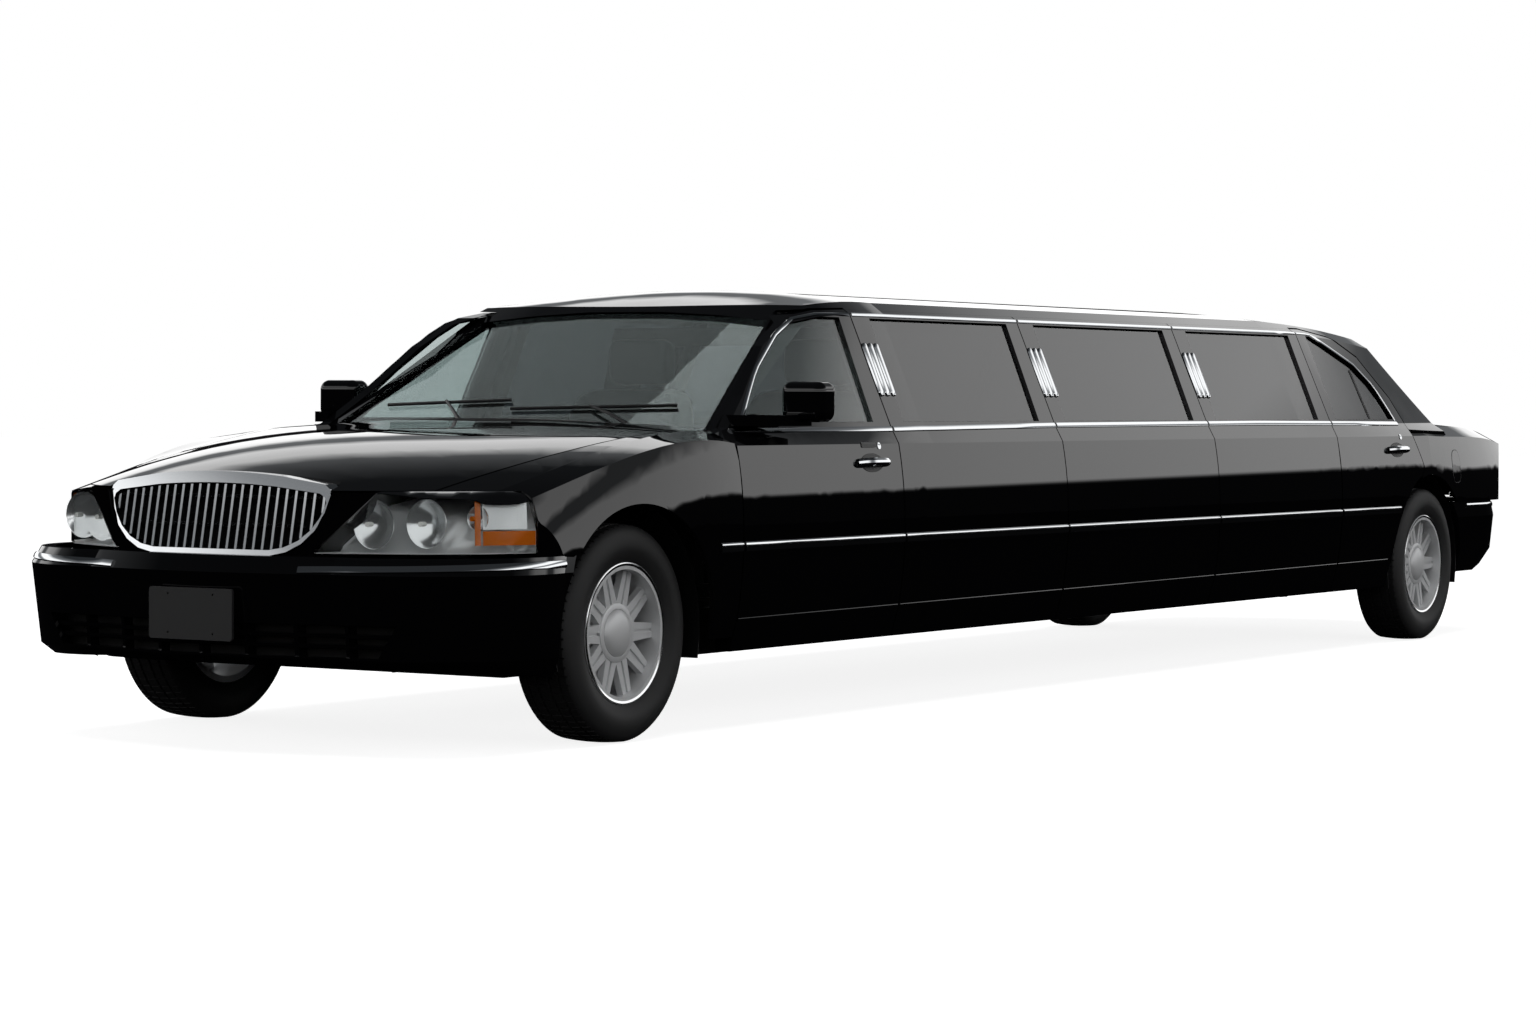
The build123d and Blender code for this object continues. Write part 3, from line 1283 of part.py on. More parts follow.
# Front structure: aprons beside the engine, their shelves under the wings, and the radiator panel
apron_y = rail_y + rail_width / 2
apron_front_x = nose_x + 275.0
shelf_z = 790.0
radiator_half = 560.0
radiator_top_z = 700.0
front_room = body_end(front_section_shares, clip_rear_x, nose_x, -1, nose_plan_shares, skin + seat_gap)
with BuildPart() as structure:
    for side in SIDES.values():
        foot_z = rail_height_low + front_rail_lift + rail_depth + seat_gap
        add(block(apron_front_x, front_kick[0], side * (apron_y - plate), side * apron_y, foot_z, shelf_z))
        shelf = block(front_axle_x - 380.0, front_kick[0] + 60.0, side * (apron_y - plate), side * width,
                      shelf_z, shelf_z + plate)
        add(shelf & front_room)
    add(block(apron_front_x, apron_front_x + 4 * plate, -radiator_half, radiator_half,
              rail_height_low + front_rail_lift + rail_depth + seat_gap, radiator_top_z))

# Bulkhead with the plenum tray that carries cowl, bonnet hinges and windscreen pillars
bulkhead_x = door_front_x + 75.0
tray_front_x = bonnet_rear_x + cowl_gap + 5.0
tray_half = 835.0
with BuildPart() as bulkhead:
    add(block(bulkhead_x, bulkhead_x + plate, -sill_inner_y, sill_inner_y, floor_z + floor_thickness + seat_gap, tray_z))
    add(block(bulkhead_x - overrun, bulkhead_x + overrun, -tunnel_half, tunnel_half, 0, gearbox_hump_top_z + seat_gap),
        mode=Mode.SUBTRACT)
    add(block(tray_front_x, bulkhead_x + plate, -tray_half, tray_half, tray_z, tray_z + plate))
    add(lid_brackets(bonnet_hinge_x, bonnet_hinge_y, bonnet_hinge_z, tray_z))

# Body posts behind the seams, those ahead of the doors with the hinge pins
rear_door_front_x = stretch_rear_x + shut_gap / 2
with BuildPart() as posts:
    add(post(door_front_x - hinge_ahead, shoulder_height))
    add(hinge_pins(door_front_x))
    add(post(rear_door_front_x - hinge_ahead - eye_radius))
    add(hinge_pins(rear_door_front_x))
    for number, seam_x in enumerate(stretch_seams[:-1]):
        add(post(seam_x + post_width * (0.6 if number == 0 else 0)))

# Boot hinge brackets and the parcel shelf behind the rear seat
shelf_front_x = backlight_foot_x - 420.0
shelf_top_z = shoulder_height - 12.0
gutter_z = shelf_top_z - 6 * plate
gutter_half = lid_half_width - 40.0
with BuildPart() as shelf:
    add(block(shelf_front_x, lid_front_x - 2 * shut_gap, -lid_half_width, lid_half_width, shelf_top_z - plate, shelf_top_z))
    add(block(lid_front_x - 3 * shut_gap, lid_hinge_x + 30.0, -gutter_half, gutter_half, gutter_z, gutter_z + plate))
    add(block(lid_front_x - 3 * shut_gap, lid_front_x - 2 * shut_gap, -gutter_half, gutter_half,
              gutter_z + plate + seat_gap, shelf_top_z - plate - seat_gap))
    add(block(shelf_front_x, shelf_front_x + plate, -boot_floor_half, boot_floor_half,
              boot_floor_z + floor_thickness + seat_gap, shelf_top_z - plate - seat_gap))
    add(lid_brackets(lid_hinge_x, lid_hinge_y, lid_hinge_z, gutter_z + plate))
with BuildPart() as inner_body:
    for section in (structure, bulkhead, posts, shelf):
        add(section.part)
save(inner_body.part, "inner_body")

# Heavy masses and what shows below: engine, shaft, tank, exhaust
engine_front_x = front_axle_x - 330.0
engine_length = 620.0
engine_half_width = 260.0
engine_low = crossmember_top_z + seat_gap
engine_high = 720.0
with BuildPart() as engine:
    with Locations((engine_front_x + engine_length / 2, 0, (engine_low + engine_high) / 2)):
        Box(engine_length, 2 * engine_half_width, engine_high - engine_low)
    chamfer(engine.edges().filter_by(Axis.X), engine_half_width / 4)
    with BuildSketch(Plane(origin=(engine_front_x + engine_length, 0, shaft_z), x_dir=(0, 1, 0), z_dir=(1, 0, 0))):
        Circle(gearbox_radius)
    extrude(amount=gearbox_length)
    with BuildSketch(Plane(origin=(engine_front_x + engine_length, 0, shaft_z), x_dir=(0, 1, 0), z_dir=(1, 0, 0))):
        Circle(shaft_radius)
    extrude(amount=rear_axle_x - drive_radius - engine_front_x - engine_length - joint_gap)
save(engine.part, "engine_and_shaft")
tank_half_width = 380.0
tank_right_y = 180.0
with BuildPart() as tank:
    add(block(rear_axle_x + 560.0, rear_axle_x + 900.0, -tank_half_width, tank_right_y, 235.0,
              rail_height_low + tail_rail_lift - seat_gap))
    add(block(rear_axle_x + 600.0, rear_axle_x + 860.0, -tank_half_width - 30.0, tank_right_y,
              rail_height_low + tail_rail_lift - 40.0, rail_height_low + tail_rail_lift - seat_gap))
save(tank.part, "fuel_tank")
pipe_radius = 27.0
pipe_y = 265.0
pipe_z = rail_height_low + crossmember_lift - pipe_radius - seat_gap
pipe_over_z = 490.0
pipe_bend = 110.0
silencer_half_width = 108.0
silencer_half_height = 42.0
silencer_length = 560.0
silencer_rear_x = rear_kick[0] - 150.0
pipe_path = [(engine_front_x + engine_length + 40.0, pipe_z), (rear_kick[0] + 50.0, pipe_z),
             (rear_axle_x - 200.0, pipe_over_z), (rear_axle_x + 300.0, pipe_over_z),
             (rear_axle_x + 620.0, 330.0), (rear_end_x - 60.0, 330.0)]
with BuildPart() as exhaust:
    with BuildLine(side_plane(pipe_y)):
        FilletPolyline(*pipe_path, radius=pipe_bend)
    with BuildSketch(Plane(origin=(pipe_path[0][0], pipe_y, pipe_z), x_dir=(0, 1, 0), z_dir=(1, 0, 0))):
        Circle(pipe_radius)
    sweep()
    with BuildSketch(Plane(origin=(silencer_rear_x - silencer_length, pipe_y, pipe_z), x_dir=(0, 1, 0), z_dir=(1, 0, 0))):
        Ellipse(silencer_half_width, silencer_half_height)
    extrude(amount=silencer_length)
    add(block(pipe_path[0][0], pipe_path[0][0] + pipe_radius, pipe_y - pipe_radius, pipe_y + pipe_radius,
              pipe_z, engine_low + engine_half_width / 4 + pipe_radius), mode=Mode.PRIVATE)
save(exhaust.part - frame.part, "exhaust")

# Cabin fittings: dashboard, steering wheel, seats, partition and lounge
dash_half = 745.0
dash_rear_x = bulkhead_x + 390.0
dash_low = 600.0
dash_high = 925.0
column_y = -380.0
with BuildPart() as dash:
    add(side_prism([(bulkhead_x + plate + seat_gap, dash_low), (bulkhead_x + plate + seat_gap, tray_z - 4.0),
                    (bulkhead_x + 120.0, dash_high), (dash_rear_x - 60.0, dash_high), (dash_rear_x, dash_high - 70.0),
                    (dash_rear_x - 120.0, dash_low)], -dash_half, dash_half))
steering_wheel_radius = 190.0
steering_rim_radius = 14.0
steering_tilt = 28.0
column_length = 230.0
wheel_frame = Plane(origin=(dash_rear_x + 130.0, column_y, 805.0), x_dir=(0, 1, 0),
                    z_dir=(math.cos(math.radians(steering_tilt)), 0, math.sin(math.radians(steering_tilt))))
with BuildPart() as steering_wheel:
    with BuildSketch(Plane(origin=wheel_frame.origin, x_dir=wheel_frame.z_dir, z_dir=(0, 1, 0)).rotated((0, 0, 0))):
        with Locations((0, steering_wheel_radius)):
            Circle(steering_rim_radius)
    revolve(axis=Axis(wheel_frame.origin, wheel_frame.z_dir))
    with BuildSketch(wheel_frame):
        Circle(2.5 * steering_rim_radius)
        with PolarLocations(steering_wheel_radius / 2, 4, 45):
            Rectangle(steering_wheel_radius, 1.6 * steering_rim_radius)
    extrude(amount=steering_rim_radius / 2, both=True)
    with BuildSketch(wheel_frame):
        Circle(1.6 * steering_rim_radius)
    extrude(amount=-column_length)
with BuildPart() as controls:
    add(dash.part)
    add(steering_wheel.part)
save(controls.part, "dashboard")
seat_front_x = dash_rear_x + 350.0
seat_length = 520.0
seat_half_width = 260.0
seat_y = 390.0
seat_top_z = 600.0
seat_base_top_z = 455.0
seat_back_top_z = 1130.0
headrest_top_z = 1320.0
back_thickness = 150.0
back_lean = 190.0
seat_round = 35.0
cabin_floor_z = floor_z + floor_thickness
with BuildPart() as bases:
    for side in SIDES.values():
        add(block(seat_front_x + 40.0, seat_front_x + seat_length - 20.0, side * (seat_y - 200.0), side * (seat_y + 200.0),
                  cabin_floor_z + seat_gap, seat_base_top_z))
with BuildPart() as front_seats:
    for side in SIDES.values():
        y = side * seat_y
        with BuildSketch(side_plane(y + seat_half_width)):
            with BuildLine():
                Polyline((seat_front_x, seat_base_top_z + seat_gap), (seat_front_x, seat_top_z),
                         (seat_front_x + seat_length - back_thickness, seat_top_z - 20.0),
                         (seat_front_x + seat_length - back_thickness + back_lean, seat_back_top_z),
                         (seat_front_x + seat_length + back_lean, seat_back_top_z),
                         (seat_front_x + seat_length, seat_base_top_z + seat_gap), close=True)
            make_face()
        extrude(amount=2 * seat_half_width)
        with BuildSketch(side_plane(y + seat_half_width / 2)):
            with BuildLine():
                top_x = seat_front_x + seat_length + back_lean
                Polyline((top_x - 110.0, seat_back_top_z), (top_x - 95.0, headrest_top_z), (top_x - 15.0, headrest_top_z),
                         (top_x, seat_back_top_z), close=True)
            make_face()
        extrude(amount=seat_half_width)
partition_x = seat_front_x + seat_length + back_lean + 60.0
partition_half = 690.0
with BuildPart() as partition:
    add(front_prism(both([(partition_half, cabin_floor_z + seat_gap), (partition_half, belt_height - 60.0),
                          (partition_half - 90.0, window_top_height - 40.0)]), partition_x, partition_x + 3 * plate))
    add(front_prism(both([(partition_half - 160.0, belt_height), (partition_half - 220.0, window_top_height - 110.0)]),
                    partition_x, partition_x + 3 * plate), mode=Mode.SUBTRACT)
    add(block(partition_x - plate, partition_x + overrun, -tunnel_half - plate, tunnel_half + plate, 0,
              tunnel_top_z + seat_gap), mode=Mode.SUBTRACT)
save(partition.part, "partition")
bench_depth = 430.0
bench_front_x = partition_x + 350.0
bench_top_z = 620.0
bench_base_z = 470.0
bench_back_top_z = 985.0
bench_back = 130.0
bench_wall_y = post_inner_y - 5.0
rear_bench_x = floor_rear_x - floor_thickness - 560.0
rear_bench_half = 700.0
side_bench_rear_x = stretch_rear_x - 250.0
with BuildPart() as bench_bases:
    add(block(bench_front_x, side_bench_rear_x, -bench_wall_y, -bench_wall_y + bench_depth - 40.0,
              cabin_floor_z + seat_gap, bench_base_z))
    add(block(rear_bench_x + 40.0, floor_rear_x - floor_thickness - seat_gap, -rear_bench_half, rear_bench_half,
              cabin_floor_z + seat_gap, bench_base_z) - block(0, length, -tunnel_half - plate, tunnel_half + plate, 0, tunnel_top_z + plate))
with BuildPart() as all_bases:
    add(bases.part)
    add(bench_bases.part)
save(all_bases.part, "seat_bases")
with BuildPart() as lounge:
    add(front_prism([(-bench_wall_y, bench_base_z + seat_gap), (-bench_wall_y, bench_back_top_z),
                     (-bench_wall_y + bench_back * 0.7, bench_back_top_z), (-bench_wall_y + bench_back, bench_top_z),
                     (-bench_wall_y + bench_depth, bench_top_z), (-bench_wall_y + bench_depth, bench_base_z + seat_gap)],
                    bench_front_x, side_bench_rear_x))
    add(side_prism([(rear_bench_x, bench_base_z + seat_gap), (rear_bench_x, bench_top_z),
                    (floor_rear_x - bench_back - 40.0, bench_top_z), (floor_rear_x - bench_back + 40.0, bench_back_top_z - 60.0),
                    (floor_rear_x + 40.0, bench_back_top_z - 60.0),
                    (floor_rear_x + 40.0, boot_floor_z + floor_thickness + seat_gap),
                    (floor_rear_x - floor_thickness - seat_gap, boot_floor_z + floor_thickness + seat_gap),
                    (floor_rear_x - floor_thickness - seat_gap, bench_base_z + seat_gap)], -rear_bench_half, rear_bench_half))
with BuildPart() as seats:
    add(front_seats.part)
    add(lounge.part)
save(seats.part, "seats")
bar_depth_y = 280.0
save(block(bench_front_x + 200.0, side_bench_rear_x - 900.0, bench_wall_y - bar_depth_y, bench_wall_y,
           cabin_floor_z + seat_gap, 880.0), "bar_cabinet")

# Door mirrors, each seated on its front door
mirror_x = door_front_x + 400.0
mirror_length = 110.0
mirror_inner_y = 905.0
mirror_outer_y = 1075.0
mirror_low = 1022.0
mirror_high = 1160.0
mirror_round = 34.0
mirror_arm_low = belt_height + 6.0
mirror_arm_high = 1046.0
# columns: distance behind the door's front edge, half width, of the arm's plan
mirror_arm_plan = [(120.0, 810.0), (185.0, 810.0), (300.0, 900.0), (430.0, 925.0), (430.0, 985.0), (360.0, 985.0),
                   (120.0, 905.0)]
for side_name, side in SIDES.items():
    with BuildPart() as mirror_body:
        with Locations((mirror_x, side * (mirror_inner_y + mirror_outer_y) / 2, (mirror_low + mirror_high) / 2)):
            Box(mirror_length, mirror_outer_y - mirror_inner_y, mirror_high - mirror_low)
        fillet(mirror_body.edges(), mirror_round)
        with BuildSketch(Plane.XY.offset(mirror_arm_low)):
            with BuildLine():
                Polyline(*[(door_front_x + along, side * y) for along, y in mirror_arm_plan], close=True)
            make_face()
        extrude(amount=mirror_arm_high - mirror_arm_low)
    save(mirror_body.part - cabin_outer, "mirror_" + side_name)
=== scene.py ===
import json
import math

import bmesh
import bpy
from mathutils import Matrix, Vector
from mathutils.bvhtree import BVHTree


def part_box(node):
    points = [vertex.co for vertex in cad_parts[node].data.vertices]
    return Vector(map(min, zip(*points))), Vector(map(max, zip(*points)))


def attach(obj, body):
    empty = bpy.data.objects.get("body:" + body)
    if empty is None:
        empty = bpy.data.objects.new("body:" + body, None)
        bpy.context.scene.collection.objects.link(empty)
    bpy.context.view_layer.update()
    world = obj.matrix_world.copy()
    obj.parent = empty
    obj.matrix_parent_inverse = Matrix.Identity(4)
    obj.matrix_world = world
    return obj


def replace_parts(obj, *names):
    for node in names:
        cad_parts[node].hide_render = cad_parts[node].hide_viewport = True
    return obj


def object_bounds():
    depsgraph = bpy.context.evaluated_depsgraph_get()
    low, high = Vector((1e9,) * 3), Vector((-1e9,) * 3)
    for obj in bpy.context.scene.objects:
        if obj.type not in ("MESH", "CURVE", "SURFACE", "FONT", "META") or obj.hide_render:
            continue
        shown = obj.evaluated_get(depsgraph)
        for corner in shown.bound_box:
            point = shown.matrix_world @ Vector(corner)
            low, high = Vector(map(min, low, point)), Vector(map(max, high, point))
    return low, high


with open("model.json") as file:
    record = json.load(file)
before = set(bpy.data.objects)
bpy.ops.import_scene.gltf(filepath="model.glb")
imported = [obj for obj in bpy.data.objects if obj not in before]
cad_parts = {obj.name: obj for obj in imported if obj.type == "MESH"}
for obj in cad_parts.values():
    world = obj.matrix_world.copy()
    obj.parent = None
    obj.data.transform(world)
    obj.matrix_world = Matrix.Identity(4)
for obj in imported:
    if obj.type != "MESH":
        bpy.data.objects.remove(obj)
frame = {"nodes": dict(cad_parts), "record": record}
cad_low, cad_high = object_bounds()

# Studio: a plain white floor and a soft sky with two bright bands, low and halfway up, and darker
# overhead, with one wide soft lamp above the car. The floor adds white of its own for the camera
# alone, keeps the car's shadow, and is darker in gloss, as a black car shows the ground.
scene = bpy.context.scene
scene.view_settings.view_transform = "Standard"
floor_half = 60.0
floor_pale, floor_in_gloss = "#c4c4c4", "#0c0c0d"
floor_own_white = 0.86
sky_low, sky_band, sky_gap, sky_above = "#0e0e0f", "#ffffff", "#707274", "#26282a"
# heights of the sky's colours, from 0 at the horizon to 1 overhead
sky_stops = ((0.0, sky_low), (0.058, sky_low), (0.066, sky_band), (0.17, sky_band), (0.21, sky_gap),
             (0.26, sky_gap), (0.30, sky_band), (0.40, sky_band), (0.47, sky_gap), (0.60, sky_above))
sky_strength, seen_strength = 1.45, 1.0
lamp_height = 9.0
lamp_size = (16.0, 9.0)
lamp_watts = 900.0


def linear(code):
    """An sRGB hex colour as linear RGBA."""
    parts = [int(code[i:i + 2], 16) / 255 for i in (1, 3, 5)]
    return tuple(c / 12.92 if c <= 0.04045 else ((c + 0.055) / 1.055) ** 2.4 for c in parts) + (1.0,)


def add_node(tree, kind, links=(), **settings):
    """Adds a node: settings name its own properties or, with spaces as underscores, its inputs."""
    node = tree.nodes.new(kind)
    for name, value in settings.items():
        if hasattr(node, name):
            setattr(node, name, value)
        else:
            node.inputs[name.replace("_", " ")].default_value = value
    for source, target in links:
        tree.links.new(source, node.inputs[target])
    return node


def new_material(name):
    """An empty node material and its output node."""
    material = bpy.data.materials.new(name)
    material.use_nodes = True
    material.node_tree.nodes.clear()
    return material, add_node(material.node_tree, "ShaderNodeOutputMaterial")


floor_material, output = new_material("painted studio floor")
tree = floor_material.node_tree
rays = add_node(tree, "ShaderNodeLightPath")
seen = add_node(tree, "ShaderNodeMix", [(rays.outputs["Is Camera Ray"], 0)], data_type="RGBA")
seen.inputs[6].default_value = linear(floor_in_gloss)
seen.inputs[7].default_value = linear(floor_pale)
cover = add_node(tree, "ShaderNodeBsdfDiffuse", [(seen.outputs[2], "Color")])
own = add_node(tree, "ShaderNodeMath", [(rays.outputs["Is Camera Ray"], 0)], operation="MULTIPLY")
own.inputs[1].default_value = floor_own_white
glow = add_node(tree, "ShaderNodeEmission", [(own.outputs[0], "Strength")])
both = add_node(tree, "ShaderNodeAddShader", [(cover.outputs[0], 0), (glow.outputs[0], 1)])
tree.links.new(both.outputs[0], output.inputs["Surface"])
floor_mesh = bpy.data.meshes.new("studio_floor")
floor_mesh.from_pydata([(-floor_half, -floor_half, 0), (floor_half, -floor_half, 0),
                        (floor_half, floor_half, 0), (-floor_half, floor_half, 0)], [], [(0, 1, 2, 3)])
floor = bpy.data.objects.new("studio_floor", floor_mesh)
floor.data.materials.append(floor_material)
scene.collection.objects.link(floor)

world = bpy.data.worlds.new("studio_sky")
scene.world = world
world.use_nodes = True
tree = world.node_tree
tree.nodes.clear()
direction = add_node(tree, "ShaderNodeTexCoord")
split = add_node(tree, "ShaderNodeSeparateXYZ", [(direction.outputs["Generated"], "Vector")])
ramp = add_node(tree, "ShaderNodeValToRGB", [(split.outputs["Z"], "Fac")])
for number, (position, colour) in enumerate(sky_stops):
    stops = ramp.color_ramp.elements
    stop = stops[number] if number < 2 else stops.new(position)
    stop.position, stop.color = position, linear(colour)
sky = add_node(tree, "ShaderNodeBackground", [(ramp.outputs["Color"], "Color")], Strength=sky_strength)
white = add_node(tree, "ShaderNodeBackground", Strength=seen_strength)
white.inputs["Color"].default_value = linear(sky_band)
rays = add_node(tree, "ShaderNodeLightPath")
direct = add_node(tree, "ShaderNodeMath", [(rays.outputs["Is Camera Ray"], 0),
                                           (rays.outputs["Is Transmission Ray"], 1)], operation="MAXIMUM")
pick = add_node(tree, "ShaderNodeMixShader", [(direct.outputs[0], 0), (sky.outputs[0], 1),
                                              (white.outputs[0], 2)])
add_node(tree, "ShaderNodeOutputWorld", [(pick.outputs[0], "Surface")])

lamp_data = bpy.data.lights.new("overhead_softbox", "AREA")
lamp_data.shape = "RECTANGLE"
lamp_data.size, lamp_data.size_y = lamp_size
lamp_data.energy = lamp_watts
lamp = bpy.data.objects.new("overhead_softbox", lamp_data)
lamp.location = (0.0, 0.0, lamp_height)
lamp.visible_camera = False
lamp.visible_glossy = False
scene.collection.objects.link(lamp)

# Camera: stands low ahead of the car and to its left, where the photograph was taken from, and
# has a long lens.
camera_place = Vector((-13.6918, -7.7434, 1.1065))
camera_forward = Vector((0.85095, 0.5244, -0.02974)).normalized()
camera_right = Vector((0.52477, -0.85122, 0.00577)).normalized()
camera_up = camera_right.cross(camera_forward)
film_width, focal_length = 36.0, 90.55
camera_data = bpy.data.cameras.new("photo_camera")
camera_data.sensor_width = film_width
camera_data.lens = focal_length
camera = bpy.data.objects.new("photo_camera", camera_data)
camera.matrix_world = Matrix((camera_right, camera_up, -camera_forward)).transposed().to_4x4()
camera.matrix_world.translation = camera_place
scene.collection.objects.link(camera)
scene.camera = camera


# Body panels: pressed steel under black enamel and a clear coat, polished to a deep gloss. The
# coat gives the eye one sharp reflection over a base that stays near black.
def solid_material(name, colour, **settings):
    """A material with one Principled shader of a given colour."""
    material, output = new_material(name)
    shader = add_node(material.node_tree, "ShaderNodeBsdfPrincipled", **settings)
    shader.inputs["Base Color"].default_value = linear(colour)
    material.node_tree.links.new(shader.outputs["BSDF"], output.inputs["Surface"])
    return material


def dress(material, *names):
    """Gives CAD nodes their material."""
    for name in names:
        node = frame["nodes"][name]
        node.data.materials.clear()
        node.data.materials.append(material)


SIDES = {"left": -1, "right": 1}
panels = ["side_panels", "wings", "quarters", "roof", "bonnet", "boot_lid", "front_bumper", "rear_bumper"]
doors = ["door_%s_%s" % (row, side) for row in ("front", "rear") for side in SIDES]
paint = solid_material("black enamel under clear coat", "#050506", Roughness=0.5, Specular_IOR_Level=0.0,
                       Coat_Weight=1.0, Coat_Roughness=0.012)
dress(paint, *panels, *doors, "mirror_left", "mirror_right")

# Windows: tinted safety glass, dark in the lounge and pale green ahead, each pane bonded or
# held by its frame. The tint is in the glass, so light dims as it passes through.
dark_glass = solid_material("dark tinted safety glass", "#2c3033", Roughness=0.0, IOR=1.5,
                            Transmission_Weight=1.0)
pale_glass = solid_material("pale green safety glass", "#c3cfce", Roughness=0.0, IOR=1.5,
                            Transmission_Weight=1.0)
dress(dark_glass, "side_windows", "rear_window", "door_glass_rear_left", "door_glass_rear_right")
dress(pale_glass, "windscreen", "door_glass_front_left", "door_glass_front_right")

# Chrome trim: rolled steel strips, plated to a bright mirror and clipped or bonded to the panels.
# Each strip ends at the panel's own edges, so that those on the doors swing with them. The crease
# above the sill is pressed in the panels, so it has their paint.
chrome = solid_material("polished chromium plate", "#d6d8da", Metallic=1.0, Roughness=0.07)
dress(chrome, "grille")
body_of = {node: body for body, nodes in frame["record"]["behaviour"]["bodies"].items() for node in nodes}
probe_y, inner_limit = 1.6, 0.55
fine_step, strip_step = 0.003, 0.05
least_run = 8
merge_distance = 1e-5
smooth_angle = math.radians(28)
# a strip's domed section, as shares of its half width and its rise
across_shares, out_shares = (-1, -0.8, 0, 0.8, 1), (0, 0.7, 1, 0.7, 0)
strip_sink = 0.002


def skin_tree(names):
    """A search tree over the faces of some CAD nodes, and the node that owns each face."""
    points, faces, owners = [], [], []
    for name in names:
        mesh = frame["nodes"][name].data
        start = len(points)
        points += [v.co.copy() for v in mesh.vertices]
        faces += [[start + i for i in polygon.vertices] for polygon in mesh.polygons]
        owners += [name] * len(mesh.polygons)
    return BVHTree.FromPolygons(points, faces), owners


body_skin = skin_tree(panels + doors)


def on_side(x, z, side, skin=body_skin):
    """The point of the car's skin at x and z on one side, the way it faces and the node it is on."""
    hit, normal, face, _ = skin[0].ray_cast(Vector((x, side * probe_y, z)), Vector((0, -side, 0)))
    if hit is None or hit.y * side < inner_limit:
        return None
    return hit, (normal if normal.y * side > 0 else -normal), skin[1][face]


def stepped(path, step):
    """A path of points cut into short steps."""
    fine = []
    for a, b in zip(path, path[1:]):
        count = max(1, round(math.dist(a, b) / step))
        fine += [tuple(p + (q - p) * i / count for p, q in zip(a, b)) for i in range(count)]
    return fine + [tuple(path[-1])]


def skin_runs(path, side, skin=body_skin):
    """Runs of (place, normal) along a path of (x, z) points, broken where a panel ends, with their nodes."""
    runs, last = [], None
    for x, z in stepped(path, fine_step):
        found = on_side(x, z, side, skin)
        if found is None:
            last = None
            continue
        if found[2] != last:
            runs.append((found[2], []))
            last = found[2]
        runs[-1][1].append(found[:2])
    every = round(strip_step / fine_step)
    kept = []
    for name, places in runs:
        if len(places) > least_run:
            places = places[1:-1]
            chosen = places[::every]
            if (len(places) - 1) % every:
                chosen.append(places[-1])
            kept.append((name, chosen))
    return kept


def finish_piece(name, mesh, material, body, smooth=True):
    """Closes a mesh's seams, turns its faces outwards and hangs it on a body."""
    work = bmesh.new()
    work.from_mesh(mesh)
    bmesh.ops.remove_doubles(work, verts=work.verts, dist=merge_distance)
    bmesh.ops.recalc_face_normals(work, faces=work.faces)
    work.to_mesh(mesh)
    work.free()
    for polygon in mesh.polygons:
        polygon.use_smooth = smooth
    if smooth:
        mesh.set_sharp_from_angle(angle=smooth_angle)
    mesh.materials.clear()
    mesh.materials.append(material)
    piece = bpy.data.objects.new(name, mesh)
    scene.collection.objects.link(piece)
    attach(piece, body)
    return piece


def add_piece(name, points, faces, material, body, smooth=True):
    """A finished piece from its points and faces, riding on a body."""
    mesh = bpy.data.meshes.new(name)
    mesh.from_pydata([tuple(p) for p in points], [], faces)
    return finish_piece(name, mesh, material, body, smooth)


def grid_faces(rows, count, around=True, joined=False):
    """Faces between rows of count points; around closes each row, joined ties the last row to the first."""
    faces = []
    for r in range(rows if joined else rows - 1):
        s = (r + 1) % rows
        for c in range(count if around else count - 1):
            d = (c + 1) % count
            faces.append((r * count + c, r * count + d, s * count + d, s * count + c))
    return faces


def rows_mesh(rows):
    """Points and faces of a bar through rows of points, capped at both ends."""
    count = len(rows[0])
    points = [p for row in rows for p in row]
    caps = [tuple(range(count)), tuple(range(len(points) - count, len(points)))]
    return points, grid_faces(len(rows), count) + caps


def strip_rows(places, half_width, rise, widths=None, sink=strip_sink):
    """Rows of points of a domed strip along (place, normal) pairs; widths scales each row."""
    rows = []
    for number, (place, normal) in enumerate(places):
        ahead = places[min(number + 1, len(places) - 1)][0]
        behind = places[max(number - 1, 0)][0]
        scale = widths[number] if widths else 1.0
        half = normal.cross((ahead - behind).normalized()).normalized() * half_width * scale
        dome = [place + half * across + normal * (rise * scale ** 0.5 * out)
                for across, out in zip(across_shares, out_shares)]
        rows.append(dome + [place + half * across - normal * sink for across in (1, -1)])
    return rows


# each strip's name, half width, rise and path of (x, z) points
strips = (
    ("belt_strip", 0.0115, 0.006, [(-2.80, 0.992), (-1.82, 0.996), (-0.5, 1.005), (1.33, 1.008),
                                   (2.878, 1.001)]),
    ("side_moulding", 0.0165, 0.0080, [(-3.027, 0.611), (2.757, 0.611)]),
    ("roof_strip", 0.0080, 0.004, [(-2.704, 1.014), (-2.4815, 1.2025), (-2.2955, 1.3235), (-2.1735, 1.3785),
                                  (-1.9965, 1.4005), (-1.8, 1.4025), (2.015, 1.402), (2.24, 1.3995),
                                  (2.4035, 1.3475), (2.637, 1.2695), (2.7815, 1.173), (2.8395, 1.076),
                                  (2.867, 1.012)]),
    ("rear_strip", 0.012, 0.006, [(3.615, 0.612), (4.16, 0.612)]),
)
crease = ("sill_crease", 0.007, 0.0022, [(-2.90, 0.367), (0.0, 0.375), (2.66, 0.384)])
for side_name, side in SIDES.items():
    for kind, half_width, rise, path in strips + (crease,):
        material, slot = (paint, "black_paint") if kind == crease[0] else (chrome, "chrome")
        for number, (name, places) in enumerate(skin_runs(path, side)):
            points, faces = rows_mesh(strip_rows(places, half_width, rise))
            add_piece("%s_%s_%d" % (kind, side_name, number + 1), points, faces, material, body_of[name])

